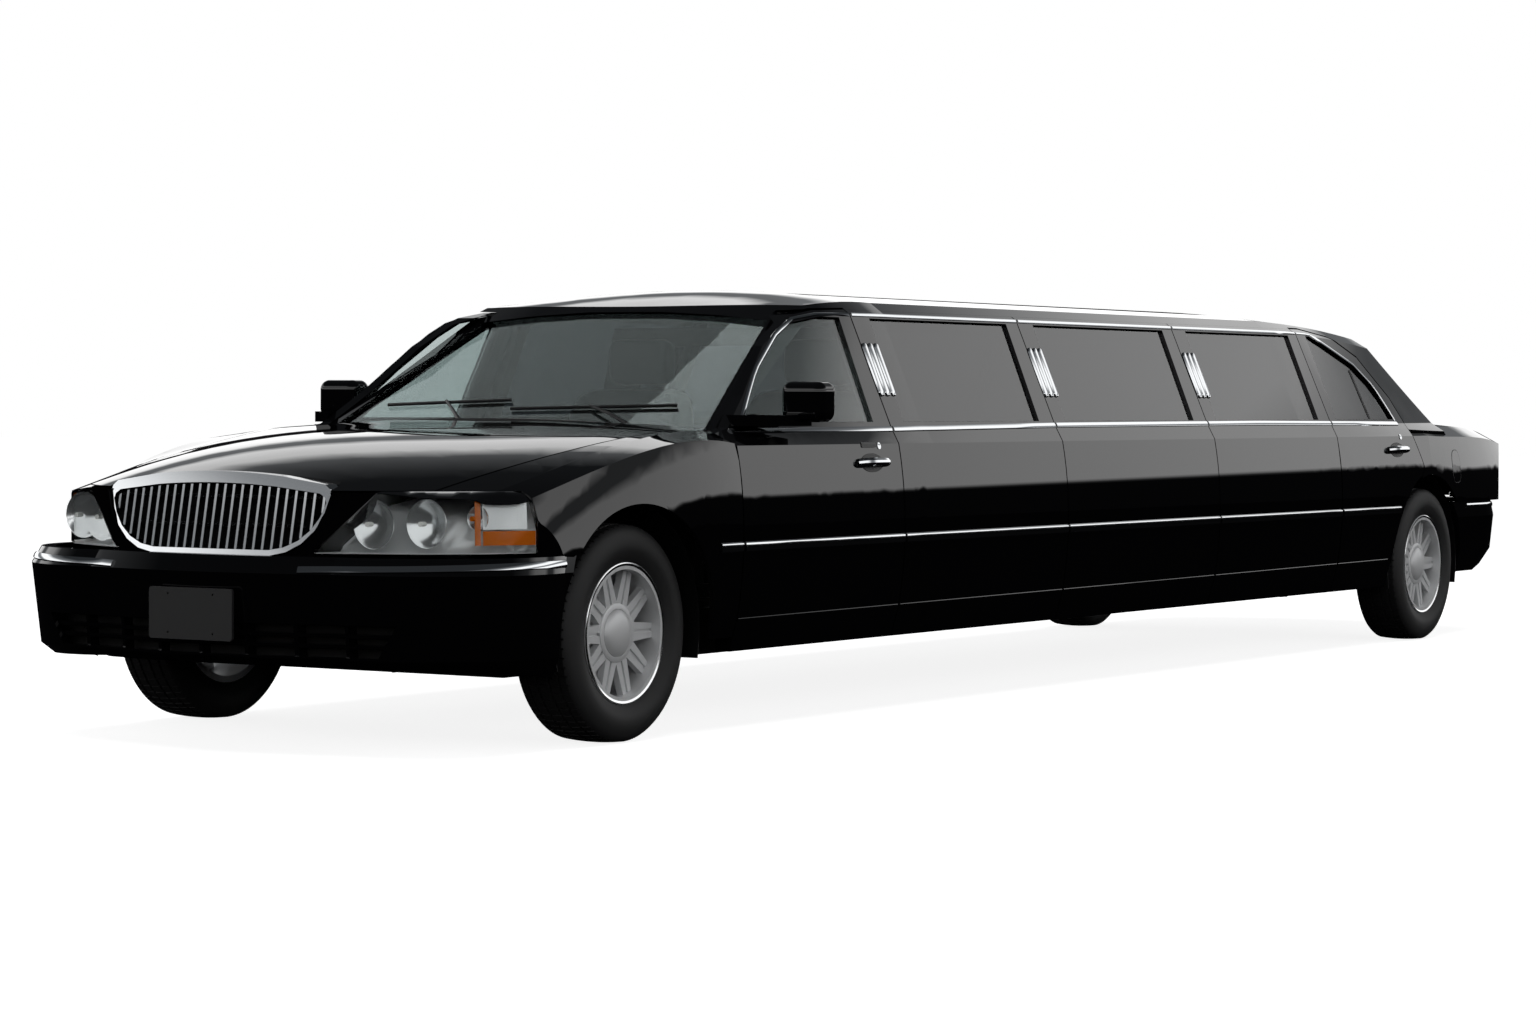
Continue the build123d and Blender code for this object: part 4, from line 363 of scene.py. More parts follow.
# Front bumper strips: a plated strip clipped to each half of the bumper, from beside the grille
# round the corner to the wing. It climbs a little on its way out.
sweep_setback, sweep_reach = 1.2, 3.0
bumper_strip_half, bumper_strip_rise = 0.013, 0.007
strip_heights = (0.572, 0.588)
climb_share = 1.6
strip_turn = (math.radians(18), math.radians(73))
strip_count = 22


def round_front(turn, z, side, skin):
    """The skin's place and facing where a level ray, turned from straight ahead, meets it."""
    way = Vector((-math.cos(turn), side * math.sin(turn), 0.0))
    start = Vector((cad_low.x + sweep_setback, 0.0, z)) + way * sweep_reach
    hit, normal, _, _ = skin[0].ray_cast(start, -way)
    return None if hit is None else (hit, normal if normal.dot(way) > 0 else -normal)


bumper_skin = skin_tree(["front_bumper"])
for side_name, side in SIDES.items():
    places = []
    for number in range(strip_count):
        share = number / (strip_count - 1)
        turn = strip_turn[0] + (strip_turn[1] - strip_turn[0]) * share
        z = strip_heights[0] + (strip_heights[1] - strip_heights[0]) * min(1.0, share * climb_share)
        found = round_front(turn, z, side, bumper_skin)
        if found:
            places.append(found)
    points, faces = rows_mesh(strip_rows(places, bumper_strip_half, bumper_strip_rise))
    add_piece("bumper_strip_" + side_name, points, faces, chrome, "root")

# Air ducts: black moulded panels, clipped behind the bumper's intake and behind the grille. They
# are unpolished and near black, darker than the other plastic, as painted shade, so that the
# openings look deep and dark.
duct_black_painted_shade = solid_material("black moulded duct, unpolished, near black as painted shade", "#030303", Roughness=0.9)
duct_thickness, duct_depth = 0.004, 0.080
duct_turn, duct_probe_z, duct_levels = math.radians(36), 0.440, (0.285, 0.430)
outer, inner = [], []
for number in range(strip_count):
    turn = duct_turn * (2 * number / (strip_count - 1) - 1)
    place, normal = round_front(abs(turn), duct_probe_z, 1 if turn > 0 else -1, bumper_skin)
    back = -Vector((normal.x, normal.y, 0)).normalized()
    for rows, depth in ((outer, duct_depth), (inner, duct_depth + duct_thickness)):
        rows.append([Vector((*(place + back * depth).xy, z)) for z in duct_levels])
points, faces = rows_mesh([a + b[::-1] for a, b in zip(outer, inner)])
# the intake's panel, near black: painted shade behind the opening
add_piece("intake_duct_panel", points, faces, duct_black_painted_shade, "root", smooth=False)
grille_low, grille_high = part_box("grille")
panel_half, panel_back, panel_lean, panel_foot, panel_head = 0.395, 0.012, 0.060, 0.016, 0.030
panel_x = grille_high.x + panel_back
panel_rows = []
for y in (-panel_half, panel_half):
    foot = Vector((panel_x - panel_lean, y, grille_low.z + panel_foot))
    head = Vector((panel_x, y, grille_high.z - panel_head))
    deep = Vector((duct_thickness, 0, 0))
    panel_rows.append([foot, head, head + deep, foot + deep])
points, faces = rows_mesh(panel_rows)
# the grille's panel, near black: painted shade behind the grille
add_piece("grille_duct_panel", points, faces, duct_black_painted_shade, "root", smooth=False)

# Pillar bars: three upright rounded chrome bars on each pillar between the stretch windows, cast,
# plated and bonded on.
bar_places = (-1.741, -0.478, 0.893)
bar_low_z, bar_high_z = 1.112, 1.300
bar_pitch, bar_half_width, bar_rise, bar_sink = 0.041, 0.0155, 0.008, 0.006
# how wide a bar is along its length, in shares of both
bar_station_shares = (0.0, 0.012, 0.035, 0.08, 0.5, 0.92, 0.965, 0.988, 1.0)
bar_width_shares = (0.35, 0.68, 0.90, 1.0, 1.0, 1.0, 0.90, 0.68, 0.35)
for side_name, side in SIDES.items():
    for group, middle in enumerate(bar_places):
        foot, facing = on_side(middle, bar_low_z, side)[:2]
        head = on_side(middle, bar_high_z, side)[0]
        for bar in (-1, 0, 1):
            aside = Vector((bar * bar_pitch, 0, 0))
            places = [(foot.lerp(head, share) + aside, facing) for share in bar_station_shares]
            points, faces = rows_mesh(strip_rows(places, bar_half_width, bar_rise, bar_width_shares,
                                                 bar_sink))
            add_piece("pillar_bar_%s_%d_%d" % (side_name, group + 1, bar + 2), points, faces, chrome, "root")

# Door handles: a chrome pull across a black oval recess in each door, with the lock above it and a
# small keypad above the front ones. They are bolted through the door's skin.
black_plastic = solid_material("black moulded plastic", "#0c0c0d", Roughness=0.4)
handle_places = {"door_front": (-2.006, 0.879), "door_rear": (2.745, 0.883)}
recess_half, recess_rise, patch_edge = (0.078, 0.033), 0.0016, 0.001
pull_half, pull_radius, pull_stand, pull_sink = 0.092, 0.0155, 0.028, 0.001
pull_steps, pull_power = 14, 5
lock_place, lock_radius = (0.062, 0.058), 0.0115
keypad_place, keypad_half = (-0.010, 0.062), (0.050, 0.0095)
fitting_rise = 0.0025


def oval(half, corner, count):
    """Points round an oval, or round a plate with rounded corners where corner is high."""
    points = []
    for step in range(count):
        turn = 2 * math.pi * step / count
        a, b = math.cos(turn), math.sin(turn)
        size = (abs(a) ** corner + abs(b) ** corner) ** (-1 / corner)
        points.append((half[0] * a * size, half[1] * b * size))
    return points


def skin_patch(name, middle, half, side, rise, skin, material, body, corner=2, rings=5, count=40):
    """A thin domed oval, or with a high corner value a rounded plate, lying on the skin."""
    points = []
    for ring in range(rings + 1):
        for x, z in oval(half, corner, count):
            reach = ring / rings
            place, normal = on_side(middle[0] + x * reach, middle[1] + z * reach, side, skin)[:2]
            points.append(place + normal * rise)
    points += [point - Vector((0, side * (rise + patch_edge), 0)) for point in points[-count:]]
    faces = grid_faces(rings + 2, count) + [tuple(range(len(points) - count, len(points)))]
    return add_piece(name, points, faces, material, body)


def round_bar(path, radii, sides=12):
    """Points and faces of a round bar along a path of points, with a radius at each."""
    # a section turned more than this cosine allows is turned back to follow the last one
    least_turned = 0.99
    rows = []
    for number, (place, radius) in enumerate(zip(path, radii)):
        along = (path[min(number + 1, len(path) - 1)] - path[max(number - 1, 0)]).normalized()
        across = along.orthogonal().normalized()
        if number and across.dot(last_across) < least_turned:
            across = (last_across - along * last_across.dot(along)).normalized()
        last_across = across
        over = along.cross(across)
        turns = [2 * math.pi * step / sides for step in range(sides)]
        rows.append([place + across * radius * math.cos(turn) + over * radius * math.sin(turn)
                     for turn in turns])
    return rows_mesh(rows)


for side_name, side in SIDES.items():
    for kind, (x, z) in handle_places.items():
        door = kind + "_" + side_name
        body, skin = body_of[door], skin_tree([door])
        skin_patch("handle_recess_" + door, (x, z), recess_half, side, recess_rise, skin, black_plastic, body)
        normal = on_side(x, z, side, skin)[1]
        path = []
        for step in range(pull_steps + 1):
            lean = 2 * step / pull_steps - 1
            foot = on_side(x + pull_half * lean, z, side, skin)[0]
            path.append(foot + normal * (pull_stand * (1 - abs(lean) ** pull_power) - pull_sink))
        points, faces = round_bar(path, [pull_radius] * len(path))
        add_piece("handle_pull_" + door, points, faces, chrome, body)
        skin_patch("lock_" + door, (x + lock_place[0], z + lock_place[1]), (lock_radius, lock_radius), side,
                   fitting_rise, skin, chrome, body, rings=2, count=24)
        if kind == "door_front":
            skin_patch("keypad_" + door, (x + keypad_place[0], z + keypad_place[1]), keypad_half, side,
                       fitting_rise, skin, black_plastic, body, corner=8)

# Rear quarter-light divider: an upright bar of black extruded rubber across each rear door's pane,
# dull beside the glass.
seal_black = solid_material("black extruded rubber", "#0e0e0f", Roughness=0.6)
divider_path = [(2.588, 1.024), (2.588, 1.296)]
divider_half, divider_rise = 0.012, 0.003
for side_name, side in SIDES.items():
    pane = "door_glass_rear_" + side_name
    found = [on_side(x, z, side, skin_tree([pane])) for x, z in stepped(divider_path, strip_step)]
    places = [place[:2] for place in found if place]
    points, faces = rows_mesh(strip_rows(places, divider_half, divider_rise))
    add_piece("quarter_light_bar_" + side_name, points, faces, seal_black, body_of[pane])

# Fuel door: a tall oval lid of painted steel in the left rear quarter, flush, with a thin black ring
# laid on the skin round it as painted shade for its gap.
fuel_place, fuel_half, fuel_gap = (3.455, 0.800), (0.050, 0.075), 0.003
fuel_corner, fuel_rise, fuel_gap_rise = 3, 0.0010, 0.0004
quarter_skin = skin_tree(["quarters"])
# the gap: a ring in the black rubber's colour laid on the skin, painted shade for the gap
skin_patch("fuel_door_gap", fuel_place, (fuel_half[0] + fuel_gap, fuel_half[1] + fuel_gap), SIDES["left"],
           fuel_gap_rise, quarter_skin, seal_black, "root", corner=fuel_corner)
skin_patch("fuel_door", fuel_place, fuel_half, SIDES["left"], fuel_rise, quarter_skin, paint, "root",
           corner=fuel_corner)

# Mirror glass: a flat silvered pane, clipped into each mirror's rear face with a small black
# surround. It gives the eye a clear picture of what is behind.
mirror_silver = solid_material("silvered mirror glass", "#d6dadc", Metallic=1.0, Roughness=0.02)
mirror_inset, mirror_corner, mirror_steps, mirror_sink, mirror_probe = 0.085, 4, 36, 0.001, 0.5
# each part's name, half width and height, rise, material and slot
mirror_parts = (("surround", (0.070, 0.050), 0.002, black_plastic, "trim"),
                ("pane", (0.064, 0.044), 0.003, mirror_silver, "chrome"))
for side_name, side in SIDES.items():
    mirror = "mirror_" + side_name
    low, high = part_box(mirror)
    skin = skin_tree([mirror])
    middle_y = (high.y if side > 0 else low.y) - side * mirror_inset
    middle_z = (low.z + high.z) / 2
    for kind, half, rise, material, slot in mirror_parts:
        rows = []
        for depth in (rise, -mirror_sink):
            row = []
            for aside, up in oval(half, mirror_corner, mirror_steps):
                y, z = middle_y + aside, middle_z + up
                hit = skin[0].ray_cast(Vector((high.x + mirror_probe, y, z)), Vector((-1, 0, 0)))[0]
                row.append(Vector(((hit.x if hit else high.x) + depth, y, z)))
            rows.append(row)
        points, faces = rows_mesh(rows)
        add_piece("mirror_%s_%s" % (kind, side_name), points, faces, material, body_of[mirror],
                  smooth=False)

# Wipers: two black blades of rubber in plastic, parked along the windscreen's foot, on arms whose
# pivots stand by the cowl.
screen_skin = skin_tree(["windscreen"])
screen_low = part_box("windscreen")[0]
# (y, lift) of each blade's two ends, the lift over the lowest blade's height above the glass's foot
wiper_ends = (((-0.60, 0.035), (0.02, 0.020)), ((0.06, 0.050), (0.62, 0.030)))
blade_lift, blade_stand, blade_radius, blade_steps, blade_sides = 0.045, 0.007, 0.006, 12, 8
pivot_inset, pivot_lift, pivot_stand = 0.10, 0.012, 0.012
arm_radii, arm_over, arm_bow = (0.008, 0.006, 0.005), 0.006, 0.004
screen_probe = 1.0


def on_screen(y, lift, stand):
    """A point that stands off the windscreen's outer face, at y and a lift over the glass's foot."""
    start = Vector((screen_low.x - screen_probe, y, screen_low.z + lift))
    hit, normal, _, _ = screen_skin[0].ray_cast(start, Vector((1, 0, 0)))
    return hit + (normal if normal.x < 0 else -normal) * stand


for number, ((y0, lift0), (y1, lift1)) in enumerate(wiper_ends):
    blade = []
    for step in range(blade_steps + 1):
        lift = blade_lift + lift0 + (lift1 - lift0) * step / blade_steps
        blade.append(on_screen(y0 + (y1 - y0) * step / blade_steps, lift, blade_stand))
    points, faces = round_bar(blade, [blade_radius] * len(blade), blade_sides)
    add_piece("wiper_blade_%d" % (number + 1), points, faces, black_plastic, "root")
    pivot = on_screen(y0 + pivot_inset, pivot_lift, pivot_stand)
    middle = blade[blade_steps // 2] + Vector((0, 0, arm_over))
    elbow = pivot.lerp(middle, 0.5) + Vector((-arm_bow, 0, arm_over))
    points, faces = round_bar([pivot, elbow, middle], arm_radii, blade_sides)
    add_piece("wiper_arm_%d" % (number + 1), points, faces, black_plastic, "root")

# Tyres: black radial tyres, moulded, with four grooves and a sipe across each pitch of the tread.
# The pitches repeat round the tyre, so Geometry Nodes place them. Dull rubber sets off the rims.
rubber = solid_material("moulded tyre rubber", "#161617", Roughness=0.60)
wheels = ["%s_%s" % (row, side) for row in ("front", "rear") for side in SIDES]
tyre_radius, tyre_half_width, bead_radius = 0.351, 0.1125, 0.2192
# (across, radius) up one flank, from the bead to the shoulder
flank = [(0.086, bead_radius), (0.0935, 0.2262), (0.1005, 0.243), (0.1095, 0.262), (tyre_half_width, 0.281),
         (0.1105, 0.303), (0.1045, 0.325), (0.0985, 0.337), (0.0925, 0.3425)]
tread_half, tread_drop, groove_depth, groove_half = 0.088, 0.005, 0.0075, 0.0045
tread_grooves = (-0.060, -0.022, 0.022, 0.060)
# a groove's top and foot as shares of its half width, and where between them its wall divides
groove_edge_shares, groove_wall_share = (1.0, 0.6), 0.9
tread_pitches = 72
# (share of a pitch, depth): a sipe reaches a tenth of a pitch to each side of its middle
sipe_half_share, sipe_depth = 0.10, 0.005
sipe_stations = ((0.0, 0.0), (1 - 2 * sipe_half_share, 0.0), (1 - 1.7 * sipe_half_share, sipe_depth),
                 (1 - 0.3 * sipe_half_share, sipe_depth), (1.0, 0.0))


def tyre_profile(sipe):
    """(across, radius) points over a tyre's outside from bead to bead; a sipe lowers the ribs."""
    edges = {groove + way * groove_half * share for groove in tread_grooves for way in (-1, 1)
             for share in groove_edge_shares}
    crown = []
    for across in sorted(edges | {tread_half, -tread_half}, reverse=True):
        in_groove = any(abs(across - groove) < groove_half * groove_wall_share for groove in tread_grooves)
        radius = tyre_radius - tread_drop * (across / tread_half) ** 2
        crown.append((across, radius - (groove_depth if in_groove else sipe)))
    return flank + crown + [(-across, radius) for across, radius in reversed(flank)]


def pitch_mesh():
    """One pitch of the tyre round the wheel's y axis: rib, sipe and the walls between them."""
    rows = []
    for share, sipe in sipe_stations:
        turn = 2 * math.pi / tread_pitches * share
        rows.append([Vector((r * math.sin(turn), a, r * math.cos(turn))) for a, r in tyre_profile(sipe)])
    mesh = bpy.data.meshes.new("tyre_pitch")
    faces = grid_faces(len(rows), len(rows[0]), around=False)
    mesh.from_pydata([tuple(p) for row in rows for p in row], [], faces)
    return mesh


def turned_copies_tree(name):
    """Geometry Nodes: copies of an object turned round the y axis, made real and given a material."""
    tree = bpy.data.node_groups.new(name, "GeometryNodeTree")
    tree.interface.new_socket("Geometry", in_out="INPUT", socket_type="NodeSocketGeometry")
    for label, kind in (("Pitch", "Object"), ("Count", "Int"), ("Material", "Material")):
        tree.interface.new_socket(label, in_out="INPUT", socket_type="NodeSocket" + kind)
    tree.interface.new_socket("Geometry", in_out="OUTPUT", socket_type="NodeSocketGeometry")
    given = add_node(tree, "NodeGroupInput")
    line = add_node(tree, "GeometryNodeMeshLine", [(given.outputs["Count"], "Count")], mode="OFFSET")
    line.inputs["Offset"].default_value = (0, 0, 0)
    index = add_node(tree, "GeometryNodeInputIndex")
    share = add_node(tree, "ShaderNodeMath", [(index.outputs[0], 0), (given.outputs["Count"], 1)],
                     operation="DIVIDE")
    angle = add_node(tree, "ShaderNodeMath", [(share.outputs[0], 0)], operation="MULTIPLY")
    angle.inputs[1].default_value = 2 * math.pi
    turn = add_node(tree, "ShaderNodeCombineXYZ", [(angle.outputs[0], "Y")])
    source = add_node(tree, "GeometryNodeObjectInfo", [(given.outputs["Pitch"], "Object")])
    copies = add_node(tree, "GeometryNodeInstanceOnPoints", [(line.outputs["Mesh"], "Points"),
                                                             (source.outputs["Geometry"], "Instance"),
                                                             (turn.outputs[0], "Rotation")])
    real = add_node(tree, "GeometryNodeRealizeInstances", [(copies.outputs[0], "Geometry")])
    joined = add_node(tree, "GeometryNodeMergeByDistance", [(real.outputs[0], "Geometry")])
    joined.inputs["Distance"].default_value = merge_distance
    dressed = add_node(tree, "GeometryNodeSetMaterial", [(joined.outputs[0], "Geometry"),
                                                         (given.outputs["Material"], "Material")])
    add_node(tree, "NodeGroupOutput", [(dressed.outputs[0], "Geometry")])
    return tree


def plain_mesh(holder):
    """The plain mesh that an object's modifiers make; the object is then removed."""
    mesh = bpy.data.meshes.new_from_object(holder.evaluated_get(bpy.context.evaluated_depsgraph_get()))
    holder.modifiers.clear()
    bpy.data.objects.remove(holder)
    return mesh


def grown_mesh(name, tree, **values):
    """The mesh that a Geometry Nodes tree makes, its inputs set by their sockets' identifiers."""
    carrier = bpy.data.objects.new(name + "_carrier", bpy.data.meshes.new(name + "_carrier"))
    scene.collection.objects.link(carrier)
    modifier = carrier.modifiers.new("nodes", "NODES")
    modifier.node_group = tree
    for item in tree.interface.items_tree:
        if item.item_type == "SOCKET" and item.in_out == "INPUT" and item.name in values:
            modifier[item.identifier] = values[item.name]
    return plain_mesh(carrier)


copies_tree = turned_copies_tree("tyre round its axle")
pitch_object = bpy.data.objects.new("tyre_pitch_source", pitch_mesh())
scene.collection.objects.link(pitch_object)

# Rims: cast alloy wheels in silver lacquer with a machined and polished lip and hub ring, and a
# plain domed cap pressed into the middle. The lacquer is pale and soft, and the lip shines.
alloy = solid_material("silver lacquered alloy", "#dfe0e1", Metallic=0.35, Roughness=0.42)
polished = solid_material("machined and polished aluminium", "#e2e3e4", Metallic=1.0, Roughness=0.12)
dress(alloy, *["rim_" + wheel for wheel in wheels])
# (outward, radius) round each turned piece, the outward one from the wheel's middle plane
lip_profile = [(0.0935, 0.2235), (0.0965, 0.2265), (0.0975, 0.2235), (0.0965, 0.2180), (0.0935, 0.2060),
               (0.0930, 0.2120)]
cap_profile = [(0.0830, 0.0), (0.0825, 0.020), (0.0808, 0.040), (0.0778, 0.056), (0.0730, 0.068),
               (0.0665, 0.0755), (0.0615, 0.0760)]
hub_profile = [(0.0660, 0.077), (0.0660, 0.091), (0.0640, 0.095), (0.0580, 0.096), (0.0580, 0.077)]
turned_steps = 72


def turned_mesh(profile, middle, side, closed):
    """Points and faces of an (outward, radius) profile turned round the wheel's axle."""
    points = []
    for step in range(turned_steps):
        turn = 2 * math.pi * step / turned_steps
        points += [middle + Vector((r * math.sin(turn), side * out, r * math.cos(turn)))
                   for out, r in profile]
    faces = grid_faces(turned_steps, len(profile), around=closed, joined=True)
    if not closed:
        faces.append(tuple(range(len(profile) - 1, len(points), len(profile))))
    return points, faces


for wheel in wheels:
    side = SIDES[wheel.split("_")[1]]
    node = "tyre_" + wheel
    low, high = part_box(node)
    middle, body = (low + high) / 2, body_of[node]
    mesh = grown_mesh(node, copies_tree, Pitch=pitch_object, Count=tread_pitches, Material=rubber)
    mesh.transform(Matrix.Translation(middle))
    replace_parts(finish_piece("tread_and_walls_" + wheel, mesh, rubber, body), node)
    for kind, profile, closed, material in (("rim_lip_", lip_profile, True, polished),
                                            ("hub_ring_", hub_profile, True, alloy),
                                            ("centre_cap_", cap_profile, False, alloy)):
        points, faces = turned_mesh(profile, middle, side, closed)
        add_piece(kind + wheel, points, faces, material, body)
bpy.data.objects.remove(pitch_object)

# Headlamps: a thin clear moulded cover over a bright moulded housing with two large reflector
# bowls and a small amber-bulbed one outboard, screwed to the wings as one unit. The cover gives the
# eye thin highlights and shows the bowls behind it.
lamp_clear = solid_material("clear moulded polycarbonate", "#f7f9f9", Roughness=0.0, IOR=1.2,
                            Transmission_Weight=1.0)
lamp_silver = solid_material("aluminised reflector plastic", "#e6e8e9", Metallic=0.8, Roughness=0.18)
lamp_body = solid_material("silver metallised lamp housing", "#dfe1e2", Metallic=0.25, Roughness=0.35)
amber = solid_material("amber moulded acrylic", "#c8640a", Roughness=0.15)
bulb_glass = solid_material("frosted bulb glass", "#f2f2ee", Roughness=0.2)
cover_thickness, housing_depth = 0.0025, 0.045
# how far a face leans: ahead or aside on the cover, inward at its inner edge, back on the housing
ahead_lean, aside_lean, inward_lean, back_lean, brow_lean = 0.12, 0.35, 0.45, 0.4, 0.50


def lamp_faces(side, wanted):
    """Part of one headlamp's CAD faces: its cover, the brow above that or the housing behind."""
    work = bmesh.new()
    work.from_mesh(frame["nodes"]["headlamps"].data)
    bmesh.ops.remove_doubles(work, verts=work.verts, dist=merge_distance)
    bmesh.ops.recalc_face_normals(work, faces=work.faces)
    unwanted, deeper = [], set()
    for face in work.faces:
        ahead, outward, up = -face.normal.x, face.normal.y * side, face.normal.z
        rear = ahead < -ahead_lean and outward < aside_lean
        front = (ahead > ahead_lean or outward > aside_lean) and abs(up) < brow_lean
        is_cover = front and outward >= -inward_lean and not rear
        if rear and not is_cover and ahead < -back_lean:
            deeper.update(face.verts)
        kind = "cover" if is_cover else "brow" if up > brow_lean else "housing"
        if face.calc_center_median().y * side < 0 or kind != wanted:
            unwanted.append(face)
    for vertex in deeper:
        vertex.co.x += housing_depth
    bmesh.ops.delete(work, geom=unwanted, context="FACES")
    mesh = bpy.data.meshes.new("lamp")
    work.to_mesh(mesh)
    work.free()
    return mesh


def thickened(mesh, thickness):
    """A closed sheet of some thickness inward from a mesh's faces."""
    holder = bpy.data.objects.new("sheet", mesh)
    scene.collection.objects.link(holder)
    solid = holder.modifiers.new("thickness", "SOLIDIFY")
    solid.thickness, solid.offset, solid.use_even_offset = thickness, -1.0, False
    return plain_mesh(holder)


# each bowl's y, z and radius: two large and the small outer one
bowl_places = ((0.540, 0.712, 0.074), (0.688, 0.714, 0.072), (0.800, 0.730, 0.036))
bowl_clearance, bowl_depth, bowl_probe = 0.006, 0.035, 1.0
bowl_rings, bowl_count = 7, 32
bowl_wall, lip_wide, lip_rise = 0.002, 0.003, 0.001
# how far ahead of its bowl's mouth each station of a bulb is, and its radius there
bulb_stations, bulb_radii = (0.033, 0.012, 0.006, 0.004), (0.008, 0.008, 0.006, 0.002)


def bowl(name, middle, radius):
    """A thin reflector bowl, open to the front, with a rolled rim."""
    axis = Vector((-1, 0, 0))
    across = axis.orthogonal().normalized()
    over = axis.cross(across)
    inside = [(radius * n / bowl_rings, -bowl_depth * (1 - (n / bowl_rings) ** 2))
              for n in range(1, bowl_rings + 1)]
    rim = [(radius + lip_wide, lip_rise), (radius + lip_wide, -bowl_wall)]
    outside = [(r + bowl_wall, d - bowl_wall) for r, d in reversed(inside)]
    turns = [2 * math.pi * step / bowl_count for step in range(bowl_count)]
    points, faces = rows_mesh([[middle + axis * d + (across * math.cos(turn) + over * math.sin(turn)) * r
                                for turn in turns] for r, d in inside + rim + outside])
    return add_piece(name, points, faces, lamp_silver, "root")


lamp_skin = skin_tree(["headlamps"])
lamp_parts = (("cover", lamp_clear, "lamp_clear"), ("housing", lamp_body, "trim"),
              ("brow", paint, "black_paint"))
for side_name, side in SIDES.items():
    for kind, material, slot in lamp_parts:
        sheet = thickened(lamp_faces(side, kind), cover_thickness)
        piece = finish_piece("headlamp_%s_%s" % (kind, side_name), sheet, material, "root")
        if kind == "cover":
            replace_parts(piece, "headlamps")
    for number, (y, z, radius) in enumerate(bowl_places):
        start = Vector((cad_low.x - bowl_probe, side * y, z))
        hit, normal, _, _ = lamp_skin[0].ray_cast(start, Vector((1, 0, 0)))
        slope = math.hypot(normal.y, normal.z) / abs(normal.x)
        middle = hit + Vector((bowl_clearance + radius * slope, 0, 0))
        bowl("reflector_%s_%d" % (side_name, number + 1), middle, radius)
        points, faces = round_bar([middle + Vector((-ahead, 0, 0)) for ahead in bulb_stations], bulb_radii)
        bulb = amber if number == len(bowl_places) - 1 else bulb_glass
        add_piece("bulb_%s_%d" % (side_name, number + 1), points, faces, bulb, "root")

# Corner markers: amber and clear prismed panels of moulded acrylic, bonded just inside each
# headlamp cover's outer end.
corner_turn = (math.radians(45.6), math.radians(54.5))
edge_turn = (math.radians(44.4), math.radians(45.3))
corner_parts = (("amber", corner_turn, (0.648, 0.692), amber),
                ("clear", corner_turn, (0.697, 0.788), lamp_body),
                ("edge", edge_turn, (0.648, 0.788), amber))
corner_inset, corner_thickness, corner_steps = 0.006, 0.004, 6
for side_name, side in SIDES.items():
    for kind, turns, levels, material in corner_parts:
        rows = []
        for step in range(corner_steps + 1):
            turn = turns[0] + (turns[1] - turns[0]) * step / corner_steps
            outer = [round_front(turn, z, side, lamp_skin) for z in levels]
            if all(outer):
                inner_depth = corner_inset + corner_thickness
                rows.append([place - normal * corner_inset for place, normal in outer]
                            + [place - normal * inner_depth for place, normal in outer[::-1]])
        points, faces = rows_mesh(rows)
        add_piece("corner_%s_%s" % (kind, side_name), points, faces, material, "root",
                  smooth=False)

# Wheel-arch liners: thin black moulded shells over each wheel, screwed to the inner body. They keep
# light out of the arches.
liner_radius, liner_thickness, liner_half_turn = 0.412, 0.003, math.radians(104)
liner_reach = {"front": (0.54, 0.925), "rear": (0.60, 0.938)}
liner_steps = 20
for wheel in wheels:
    row, side_name = wheel.split("_")
    low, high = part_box("tyre_" + wheel)
    middle = (low + high) / 2
    inner_y, outer_y = (SIDES[side_name] * y for y in liner_reach[row])
    outer_radius = liner_radius + liner_thickness
    rows = []
    for step in range(liner_steps + 1):
        turn = liner_half_turn * (2 * step / liner_steps - 1)
        across = Vector((math.sin(turn), 0, math.cos(turn)))
        rows.append([Vector((middle.x, y, middle.z)) + across * r
                     for r, y in ((liner_radius, inner_y), (liner_radius, outer_y),
                                  (outer_radius, outer_y), (outer_radius, inner_y))])
    points, faces = rows_mesh(rows)
    add_piece("arch_liner_" + wheel, points, faces, black_plastic, "root")

# Boot seal: a black rubber strip, clipped to the body in the gap ahead of the lid. It lies a little
# under the panels, and keeps the gap dark.
seal_half_width, seal_rise, seal_sink, seal_drop = 0.008, 0.008, 0.006, 0.006
seal_reach, seal_steps, seal_ahead = 0.70, 40, 0.0135
lid_probe_inset, lid_probe_height = 0.004, 0.5
lid_low, lid_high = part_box("boot_lid")
lid_skin = skin_tree(["boot_lid"])
places = []
for step in range(seal_steps + 1):
    y = seal_reach * (2 * step / seal_steps - 1)
    start = Vector((lid_low.x + lid_probe_inset, y, lid_high.z + lid_probe_height))
    hit = lid_skin[0].ray_cast(start, Vector((0, 0, -1)))[0]
    if hit:
        places.append((Vector((lid_low.x - seal_ahead, y, hit.z - seal_drop - seal_rise)), Vector((0, 0, 1))))
points, faces = rows_mesh(strip_rows(places, seal_half_width, seal_rise, sink=seal_sink))
add_piece("boot_front_seal", points, faces, seal_black, "root")

# Tail lamps: red moulded acrylic with fine upright flutes, screwed into the quarters' corners. The
# flutes break up the shine.
flute_pitch = 0.012
# a wave texture repeats every two pi over twenty times its scale
wave_factor = 20


def relief_material(name, colour, pattern, strength, depth, **settings):
    """A material with a relief drawn by a texture node, given as its kind, its output and its settings."""
    material, output = new_material(name)
    tree = material.node_tree
    kind, height, pattern_settings = pattern
    place = add_node(tree, "ShaderNodeTexCoord")
    texture = add_node(tree, kind, [(place.outputs["Object"], "Vector")], **pattern_settings)
    relief = add_node(tree, "ShaderNodeBump", [(texture.outputs[height], "Height")], Strength=strength,
                      Distance=depth)
    shader = add_node(tree, "ShaderNodeBsdfPrincipled", [(relief.outputs["Normal"], "Normal")], **settings)
    shader.inputs["Base Color"].default_value = linear(colour)
    tree.links.new(shader.outputs["BSDF"], output.inputs["Surface"])
    return material


